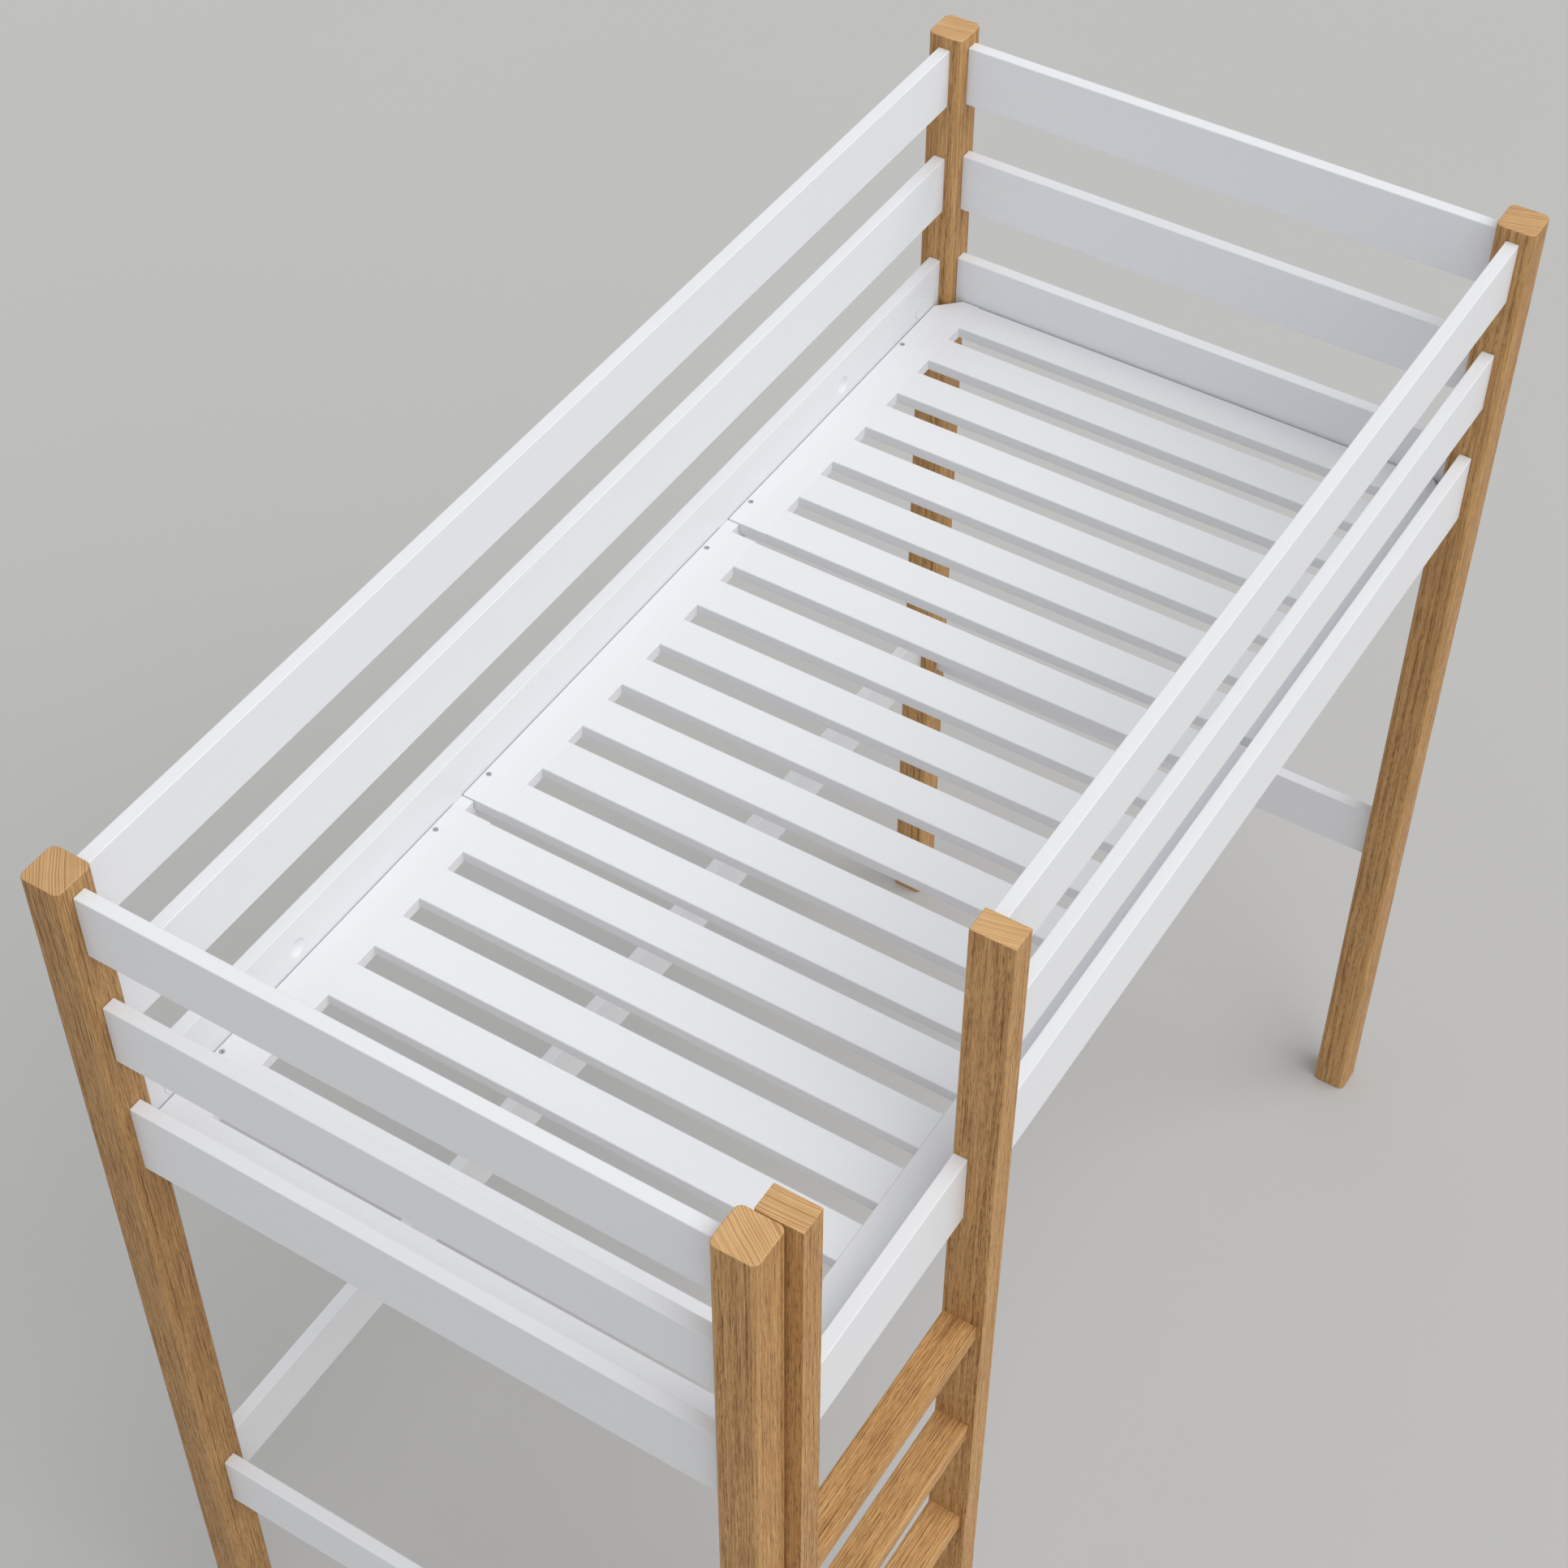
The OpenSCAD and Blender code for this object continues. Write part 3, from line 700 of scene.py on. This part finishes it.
def wood_grain(tree, ring_width):
    """Wood of the piece that the material is on, as the outputs of the shared group."""
    inputs = [
        ("Grain", "Vector"),
        ("End", "Float"),
        ("Ring Width", "Float", 0.004),
        ("Drift", "Float", 0.006),
        ("Wave", "Float", 0.0016),
        ("Ragged", "Float", 0.0022),
    ]
    found = cells("Float", "Band", "Fibre", "Pale", "Streaks", "Pores", "Cloud", "Side")
    ends = use_group(tree, "End Mask", cells("Vector", "Fibre"), cells("Float", "End"), fill_end_mask)
    tree.links.new(attribute(tree, "fibre", "Vector"), ends.inputs["Fibre"])
    wood = use_group(tree, "Wood Grain", inputs, found, fill_wood_grain)
    tree.links.new(attribute(tree, "grain", "Vector"), wood.inputs["Grain"])
    tree.links.new(ends.outputs["End"], wood.inputs["End"])
    wood.inputs["Ring Width"].default_value = ring_width
    return wood.outputs


def finish(name):
    """Makes a material once, from what the function returns for the sockets of its Principled shader."""

    def wrap(sockets_of):
        @functools.wraps(sockets_of)
        def made():
            material = bpy.data.materials.get(name)
            if material:
                return material
            material = bpy.data.materials.new(name)
            material.use_nodes = True
            tree = material.node_tree
            inputs = tree.nodes["Principled BSDF"].inputs
            for socket, value in sockets_of(tree, bpy.context.scene.bed_finishes).items():
                if isinstance(value, bpy.types.NodeSocket):
                    tree.links.new(value, inputs[socket])
                else:
                    inputs[socket].default_value = value
            return material

        return made

    return wrap


@finish("oiled_oak")
def oak(tree, look):
    """Oiled oak: bands of early wood, long dark streaks, open pores, and a painted highlight that lightens
    the arrises.
    """
    tone = attribute(tree, "tone", "Fac")
    parts = wood_grain(tree, OAK_RING)
    edge = edge_mask(tree)
    layers = (
        (parts["Band"], 0.95, look.oak_dark),
        (parts["Fibre"], 0.4, look.oak_dark),
        (parts["Cloud"], 0.22, look.oak_dark),
        (parts["Pale"], 0.5, look.oak_pale),
        (parts["Streaks"], 0.75, look.oak_pore),
        (parts["Pores"], 0.75, look.oak_pore),
        # Painted highlight: the light late-wood colour laid over the roundings and arrises
        (edge, 0.25, look.oak_light),
    )
    base = opaque(look.oak_light)
    for mask, share, laid in layers:
        base = mix(tree, times(tree, mask, share), base, opaque(laid))
    base = mix(tree, parts["Side"], base, opaque(look.oak_oil), "MULTIPLY")
    # Darker where the piece's tone is low; on the near wall post this is painted shade
    value = times(tree, tone, 0.30, 0.85)
    worn = times(tree, edge, -0.08, 0.52)
    depth = times(tree, parts["Streaks"], -0.5, times(tree, parts["Pores"], -1.0))
    return {
        "Base Color": first(tree, "ShaderNodeHueSaturation", {"Value": value, "Color": base}),
        "Roughness": times(tree, parts["Pores"], 0.25, worn),
        "Normal": bump(tree, depth, 0.3 * MM, 0.6),
        "Specular IOR Level": 0.2,
    }


@finish("white_painted_wood")
def painted_wood(tree, look):
    """White satin paint, thin enough to show the grain beneath it."""
    parts = wood_grain(tree, PAINTED_RING)
    tone = attribute(tree, "tone", "Fac")
    edge = edge_mask(tree)
    faint = times(tree, parts["Fibre"], 0.35, times(tree, parts["Band"], 0.15))
    sunk = times(tree, parts["Streaks"], 0.5, faint, clamp=True)
    base = mix(tree, times(tree, sunk, 0.45), opaque(look.paint), opaque(look.paint_shade))
    value = times(tree, tone, 0.02, 0.99)
    worn = times(tree, edge, -0.08, 0.40)
    return {
        "Base Color": first(tree, "ShaderNodeHueSaturation", {"Value": value, "Color": base}),
        "Roughness": times(tree, sunk, 0.10, worn),
        "Normal": bump(tree, times(tree, sunk, -1.0), 0.1 * MM, 0.5),
    }


@finish("beech")
def beech(tree, look):
    """Plain beech with short flecks, for the dowels inside the joints."""
    flecks = ramp(tree, noise(tree, object_place(tree), (300, 300, 900), 2), 0.5, 0.7)
    return {
        "Base Color": mix(tree, flecks, opaque(look.beech), opaque(look.beech, 0.6)),
        "Roughness": times(tree, flecks, 0.15, 0.55),
        "Normal": bump(tree, flecks, 0.1 * MM),
    }


@finish("zinc_plate")
def zinc(tree, look):
    """Zinc plate with cloudy patches and fine scratches."""
    place = object_place(tree)
    cloud = ramp(tree, noise(tree, place, (900, 900, 900), 3), 0.35, 0.65)
    scratch = ramp(tree, noise(tree, place, (5000, 700, 5000), 2), 0.6, 0.75)
    return {
        "Base Color": mix(tree, cloud, opaque(look.zinc), opaque(look.zinc, 0.62)),
        "Roughness": times(tree, cloud, 0.16, times(tree, scratch, 0.1, 0.30)),
        "Normal": bump(tree, scratch, 0.03 * MM),
        "Metallic": 1.0,
    }


@finish("white_plastic")
def plastic(tree, look):
    """White moulded plastic with a fine texture."""
    fine = noise(tree, object_place(tree), (2600, 2600, 2600), 2)
    mottle = ramp(tree, fine, 0.3, 0.8)
    return {
        "Base Color": mix(tree, mottle, opaque(look.plastic), opaque(look.plastic, 0.93)),
        "Roughness": times(tree, edge_mask(tree), -0.1, times(tree, fine, 0.15, 0.38)),
        "Normal": bump(tree, fine, 0.05 * MM, 0.6),
    }


@finish("pale_floor")
def floor_finish(tree, look):
    """Plain pale floor with the faintest unevenness."""
    cloud = noise(tree, object_place(tree), (0.8, 0.8, 0.8), 3)
    return {
        "Base Color": mix(tree, cloud, opaque(look.floor), opaque(look.floor, 0.97)),
        "Roughness": times(tree, cloud, 0.1, 0.6),
    }


# ---- Operators ----


class BED_OT_posts(Operator):
    """Build the four oak corner posts"""

    bl_idname = "bed.posts"
    bl_label = "Corner Posts"

    # Way from each post's middle to the heart of its tree, across the post, and how light its wood is drawn
    trees = {
        "post_near_front": ((1.00, -0.66), 0.6),
        # Painted shade: the near wall post's low tone darkens it all over, standing in for shade near a wall
        "post_near_wall": ((0.38, -0.46), 0.1),
        "post_far_wall": ((0.60, 0.10), 0.5),
        "post_far_front": ((0.55, 0.16), 0.4),
    }

    def execute(self, context):
        sizes = context.scene.bed_sizes
        for node, (heart, tone) in self.trees.items():
            lo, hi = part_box(node)
            middle = (lo + hi) / 2
            half = (hi.x - lo.x) / 2
            foot = sizes.post_foot_chamfer
            top = sizes.post_top_round
            levels = [(foot, lo.z), (0, lo.z + foot)]
            for angle in quarter_turn():
                levels.append((top * (1 - math.cos(angle)), hi.z - top + top * math.sin(angle)))
            rings = []
            for inset, z in levels:
                outline = rounded_square(half - inset, sizes.post_round - inset)
                rings.append([Vector((middle.x + p.x, middle.y + p.y, z)) for p in outline])
            bm = bmesh.new()
            loft(bm, rings)
            piece = set_grain(piece_from(node + "_wood", bm), Z_AXIS, heart, tone)
            finish_piece(piece, oak(), [node])
        return {"FINISHED"}


# Head diameter, head height and shank diameter of each kind of screw
SCREWS = {
    "panel_screws": (8 * MM, 2.4 * MM, 4 * MM),
    "ledger_screws": (8 * MM, 2.4 * MM, 4 * MM),
    "upright_screws": (12 * MM, 3.5 * MM, 6 * MM),
}


def screw_heads(node):
    """Middle of each screw's head and the way that it faces."""
    heads = []
    for lo, hi in solids(node):
        aim = {
            "panel_screws": Vector((0, 0, 1)),
            "upright_screws": Vector((1, 0, 0)),
            "ledger_screws": Vector((0, -1 if lo.y > 0 else 1, 0)),
        }[node]
        heads.append(((lo + hi) / 2 + aim * abs((hi - lo).dot(aim)) / 2, aim))
    return heads


def seat_screws(piece, node, lo, hi, sizes):
    """Cuts a seat in the piece for each screw head that lies on its box."""
    head, height, shank = SCREWS[node]
    slack = Vector((MM, MM, MM))
    seats = []
    for point, aim in screw_heads(node):
        if all(a <= b <= c for a, b, c in zip(lo - slack, point, hi + slack)):
            seats.append((point, aim, head / 2 + sizes.head_gap, height))
    if seats:
        cut(piece, hole_tool("head_cutter", seats, sizes.head_gap))


def plain_board(node, edge):
    """Board in the place of a CAD node."""
    lo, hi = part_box(node)
    return bar(node + "_wood", lo, hi, edge)


def finish_board(piece, along, node):
    set_grain(piece, along)
    finish_piece(piece, painted_wood(), [node])


def cap_seats(side, sizes):
    """Seats of the caps on one side of the bed, as holes: 1 is the wall side and -1 the front."""
    seats = []
    for lo, hi in solids("cover_caps"):
        middle = (lo + hi) / 2
        if middle.y * side > 0:
            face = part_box("wall_board_low")[0].y if side > 0 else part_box("front_board_low")[1].y
            radius = (hi.x - lo.x) / 2 + sizes.cap_gap
            under = abs((hi.y if side > 0 else lo.y) - face)
            seats.append(((middle.x, face, middle.z), (0, -side, 0), radius, under))
    return seats


class BED_OT_end_boards(Operator):
    """Build the boards and stretchers across both ends"""

    bl_idname = "bed.end_boards"
    bl_label = "End Boards"

    def execute(self, context):
        edge = context.scene.bed_sizes.board_round
        for end in ("near", "far"):
            for kind in ("board_top", "board_middle", "board_low", "stretcher"):
                node = f"{end}_end_{kind}"
                finish_board(plain_board(node, edge), Y_AXIS, node)
        return {"FINISHED"}


def long_board(node, side, sizes):
    """Board or stretcher along the bed, whose low board takes the caps and on the wall side the dishes."""
    piece = plain_board(node, sizes.board_round)
    if node == "wall_board_low":
        lo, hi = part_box(node)
        level = hi.z - sizes.dish_drop
        dishes = [((x, lo.y, level), (0, -1, 0)) for x in (-sizes.dish_x, sizes.dish_x)]
        size = (sizes.dish_d / 2, sizes.dish_depth, sizes.dish_rim)
        cut(piece, dish_tool("dish_cutter", dishes, *size))
    if node.endswith("_board_low"):
        cut(piece, hole_tool("seat_cutter", cap_seats(side, sizes), sizes.cap_rim))
    finish_board(piece, X_AXIS, node)


class BED_OT_wall_boards(Operator):
    """Build the long boards and the stretcher on the wall side, with two shallow dishes in the low board"""

    bl_idname = "bed.wall_boards"
    bl_label = "Wall Boards"

    def execute(self, context):
        for node in ("wall_board_top", "wall_board_middle", "wall_board_low", "wall_stretcher"):
            long_board(node, 1, context.scene.bed_sizes)
        return {"FINISHED"}


class BED_OT_front_boards(Operator):
    """Build the long boards on the front and the low board behind the ladder"""

    bl_idname = "bed.front_boards"
    bl_label = "Front Boards"

    def execute(self, context):
        for node in ("front_board_top", "front_board_middle", "front_board_low", "ladder_gap_board"):
            long_board(node, -1, context.scene.bed_sizes)
        return {"FINISHED"}


def row_values(boxes, size, middle):
    """Inputs of a row of bars of one size: how many there are, where they start and how far apart."""
    step = (boxes[-1][0] - boxes[0][0]) / (len(boxes) - 1)
    values = dict(zip(("Bar Length", "Bar Width", "Bar Thickness"), size))
    return values | {"Count": len(boxes), "First Middle": tuple(middle), "Step": tuple(step)}


class BED_OT_ladder(Operator):
    """Build the ladder's uprights and its row of rungs"""

    bl_idname = "bed.ladder"
    bl_label = "Ladder"

    hearts = {"ladder_upright_near": (0.55, 0.02), "ladder_upright_far": (0.50, 0.11)}
    rung_heart = (0, 0.30, -0.12)
    rung_spread = (8, 0.03, 0.03)
    upright_tone = 0.6
    least_rung_tone = 0.7

    def execute(self, context):
        sizes = context.scene.bed_sizes
        for node, heart in self.hearts.items():
            lo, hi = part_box(node)
            piece = bar(node + "_wood", lo, hi, sizes.upright_round)
            seat_screws(piece, "upright_screws", lo, hi, sizes)
            finish_piece(set_grain(piece, Z_AXIS, heart, self.upright_tone), oak(), [node])
        nodes = sorted(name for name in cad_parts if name.startswith("rung_"))
        boxes = [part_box(node) for node in nodes]
        lo, hi = boxes[0]
        size = (hi.x - lo.x, hi.y - lo.y, hi.z - lo.z)
        values = row_values(boxes, size, (lo + hi) / 2) | {
            "Edge Round": sizes.rung_round,
            "Turn": (0.0, 0.0, 0.0),
            "Heart": self.rung_heart,
            "Heart Spread": self.rung_spread,
            "Least Tone": self.least_rung_tone,
            "Seed": RUNG_SEED,
            "Material": oak(),
        }
        piece = grow("rungs_wood", bar_row_tree(), values)
        mark_fibre(piece, X_AXIS)
        finish_piece(piece, oak(), nodes)
        return {"FINISHED"}


class BED_OT_slats(Operator):
    """Build the slats of the three panels of the base"""

    bl_idname = "bed.slats"
    bl_label = "Slats"

    heart = (0, 0.06, -0.22)
    spread = (12, 0.05, 0.06)

    def execute(self, context):
        sizes = context.scene.bed_sizes
        for seed, panel in enumerate(("near", "middle", "far")):
            node = panel + "_panel_slats"
            boxes = solids(node)
            lo, hi = boxes[0]
            stiles = [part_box(f"{panel}_panel_{side}_stile") for side in ("front", "wall")]
            front_end = stiles[0][1].y
            wall_end = stiles[1][0].y
            middle = Vector(((lo.x + hi.x) / 2, (front_end + wall_end) / 2, (lo.z + hi.z) / 2))
            size = (wall_end - front_end, hi.x - lo.x, hi.z - lo.z)
            values = row_values(boxes, size, middle) | {
                "Edge Round": sizes.slat_round,
                "Turn": (0.0, 0.0, math.radians(90)),
                "Heart": self.heart,
                "Heart Spread": self.spread,
                "Least Tone": 0.0,
                "Seed": SLAT_SEED + seed,
                "Material": painted_wood(),
            }
            piece = grow(node + "_wood", bar_row_tree(), values)
            mark_fibre(piece, Y_AXIS)
            finish_piece(piece, painted_wood(), [node])
        return {"FINISHED"}


class BED_OT_stiles(Operator):
    """Build the stiles along both sides of the panels, cut back where a post stands"""

    bl_idname = "bed.stiles"
    bl_label = "Panel Stiles"

    def execute(self, context):
        sizes = context.scene.bed_sizes
        for panel, post_at in (("near", -1), ("middle", 0), ("far", 1)):
            for side, outer in (("front", -1), ("wall", 1)):
                node = f"{panel}_panel_{side}_stile"
                lo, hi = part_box(node)
                corners = []
                for sx, sy in ((-1, -1), (1, -1), (1, 1), (-1, 1)):
                    corner = Vector((hi.x if sx > 0 else lo.x, hi.y if sy > 0 else lo.y, lo.z))
                    if sx == post_at and sy == outer:
                        back_x = corner - Vector((sx * sizes.corner_cut, 0, 0))
                        back_y = corner - Vector((0, sy * sizes.corner_cut, 0))
                        corners += [back_y, back_x] if sx == sy else [back_x, back_y]
                    else:
                        corners.append(corner)
                up = Vector((0, 0, hi.z - lo.z))
                bm = bmesh.new()
                loft(bm, [corners, [c + up for c in corners]])
                bmesh.ops.bevel(
                    bm, geom=bm.edges[:], offset=sizes.stile_round, segments=3, profile=0.5, affect="EDGES"
                )
                piece = piece_from(node + "_wood", bm)
                seat_screws(piece, "panel_screws", lo, hi, sizes)
                finish_board(piece, X_AXIS, node)
        return {"FINISHED"}


class BED_OT_ledgers(Operator):
    """Build the ledgers under the panels and the blocks between them"""

    bl_idname = "bed.ledgers"
    bl_label = "Ledgers and Blocks"

    def execute(self, context):
        sizes = context.scene.bed_sizes
        for node in ("wall_ledger", "front_ledger"):
            lo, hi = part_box(node)
            piece = bar(node + "_wood", lo, hi, sizes.stile_round)
            if node == "front_ledger":
                bm = bmesh.new()
                for upright in ("ladder_upright_near", "ladder_upright_far"):
                    start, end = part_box(upright)
                    room = Vector((MM, 0, NOTCH_OVER))
                    low = Vector((start.x, start.y, lo.z)) - room
                    high = Vector((end.x, end.y + NOTCH_BEHIND, hi.z)) + room
                    add_bar(bm, low, high, NOTCH_ROUND, 1)
                cut(piece, piece_from("notch_cutter", bm))
            seat_screws(piece, "ledger_screws", lo, hi, sizes)
            finish_board(piece, X_AXIS, node)
        bm = bmesh.new()
        for lo, hi in solids("spacer_blocks"):
            add_bar(bm, lo, hi, sizes.stile_round)
        finish_board(piece_from("spacer_blocks_wood", bm), X_AXIS, "spacer_blocks")
        return {"FINISHED"}


class BED_OT_screws(Operator):
    """Build the screws of the panels, the ledgers and the near ladder upright"""

    bl_idname = "bed.screws"
    bl_label = "Screws"

    def execute(self, context):
        sizes = context.scene.bed_sizes
        for seed, (node, (head, height, shank)) in enumerate(SCREWS.items()):
            boxes = solids(node)
            points, aims = zip(*screw_heads(node))
            values = {
                "Head Diameter": head,
                "Head Height": height,
                "Shank Diameter": shank,
                "Screw Length": abs((boxes[0][1] - boxes[0][0]).dot(aims[0])),
                "Star Depth": sizes.star_depth,
                "Seed": SCREW_SEED + seed,
                "Material": zinc(),
            }
            piece = grow(node + "_zinc", screw_tree(), values, points, aims)
            finish_piece(piece, zinc(), [node])
        return {"FINISHED"}


class BED_OT_caps(Operator):
    """Build the round caps over the connectors"""

    bl_idname = "bed.caps"
    bl_label = "Caps"

    def execute(self, context):
        sizes = context.scene.bed_sizes
        boxes = solids("cover_caps")
        aims = [Vector((0, -1 if lo.y > 0 else 1, 0)) for lo, hi in boxes]
        points = []
        for (lo, hi), aim in zip(boxes, aims):
            points.append((lo + hi) / 2 - aim * (hi.y - lo.y) / 2)
        lo, hi = boxes[0]
        cover = plastic()
        values = {
            "Diameter": hi.x - lo.x,
            "Thickness": hi.y - lo.y,
            "Rim Round": sizes.cap_rim,
            "Seed": CAP_SEED,
            "Material": cover,
        }
        piece = grow("cover_caps_plastic", cap_tree(), values, points, aims)
        finish_piece(piece, cover, ["cover_caps"])
        return {"FINISHED"}


class BED_OT_hidden_fittings(Operator):
    """Finish the dowels and connectors that stay inside the joints"""

    bl_idname = "bed.hidden_fittings"
    bl_label = "Hidden Fittings"

    def execute(self, context):
        for node, material in (("dowels", beech()), ("cam_housings", zinc()), ("cam_bolts", zinc())):
            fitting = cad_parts[node]
            fitting.data.materials.clear()
            fitting.data.materials.append(material)
        return {"FINISHED"}


def aim_at(thing, target):
    thing.rotation_mode = "QUATERNION"
    thing.rotation_quaternion = (Vector(target) - thing.location).to_track_quat("-Z", "Y")


class BED_OT_stage(Operator):
    """Set up the floor, the soft lights and the camera"""

    bl_idname = "bed.stage"
    bl_label = "Studio"

    def execute(self, context):
        scene = context.scene
        studio = scene.bed_studio
        middle = (CAD_LO + CAD_HI) / 2

        bm = bmesh.new()
        far = FLOOR_REACH
        corners = [(-far, -far, 0), (far, -far, 0), (far, far, 0), (-far, far, 0)]
        bm.faces.new([bm.verts.new(c) for c in corners])
        floor = piece_from("floor", bm)
        floor.data.materials.append(floor_finish())

        lamp = bpy.data.lights.new("key_light", "SUN")
        lamp.energy = studio.key_strength
        lamp.angle = studio.key_spread
        lamp.color = LAMP_TINT
        key = link(bpy.data.objects.new("key_light", lamp))
        key.location = middle + LAMP_FROM_MIDDLE
        aim_at(key, middle)

        world = bpy.data.worlds.new("soft_sky")
        world.use_nodes = True
        sky = world.node_tree.nodes["Background"]
        sky.inputs["Color"].default_value = SKY_TINT
        sky.inputs["Strength"].default_value = studio.sky
        scene.world = world
        scene.view_settings.view_transform = "Standard"

        camera = link(bpy.data.objects.new("camera", bpy.data.cameras.new("camera")))
        camera.data.lens = studio.lens
        camera.location = studio.camera_at
        aim_at(camera, studio.camera_to)
        scene.camera = camera
        return {"FINISHED"}


class BED_PT_builder(Panel):
    """Lists the bed's pieces in the order in which they are built"""

    bl_idname = "BED_PT_builder"
    bl_label = "High Bed"
    bl_space_type = "VIEW_3D"
    bl_region_type = "UI"
    bl_category = "High Bed"

    def draw(self, context):
        column = self.layout.column(align=True)
        for operator in OPERATORS:
            column.operator(operator.bl_idname)
        for settings in SETTINGS:
            group = getattr(context.scene, settings)
            box = self.layout.box()
            for name in group.bl_rna.properties.keys():
                if name not in ("rna_type", "name"):
                    box.prop(group, name)


OPERATORS = (
    BED_OT_posts,
    BED_OT_end_boards,
    BED_OT_wall_boards,
    BED_OT_front_boards,
    BED_OT_ladder,
    BED_OT_stiles,
    BED_OT_slats,
    BED_OT_ledgers,
    BED_OT_screws,
    BED_OT_caps,
    BED_OT_hidden_fittings,
    BED_OT_stage,
)
SETTINGS = {"bed_sizes": BedSizes, "bed_finishes": BedFinishes, "bed_studio": BedStudio}
CLASSES = (*SETTINGS.values(), *OPERATORS, BED_PT_builder)


def register():
    for cls in CLASSES:
        bpy.utils.register_class(cls)
    for name, group in SETTINGS.items():
        setattr(bpy.types.Scene, name, PointerProperty(type=group))


def unregister():
    for name in SETTINGS:
        delattr(bpy.types.Scene, name)
    for cls in reversed(CLASSES):
        bpy.utils.unregister_class(cls)


def main():
    register()
    for operator in OPERATORS:
        group, name = operator.bl_idname.split(".")
        getattr(getattr(bpy.ops, group), name)()


if __name__ == "__main__":
    main()
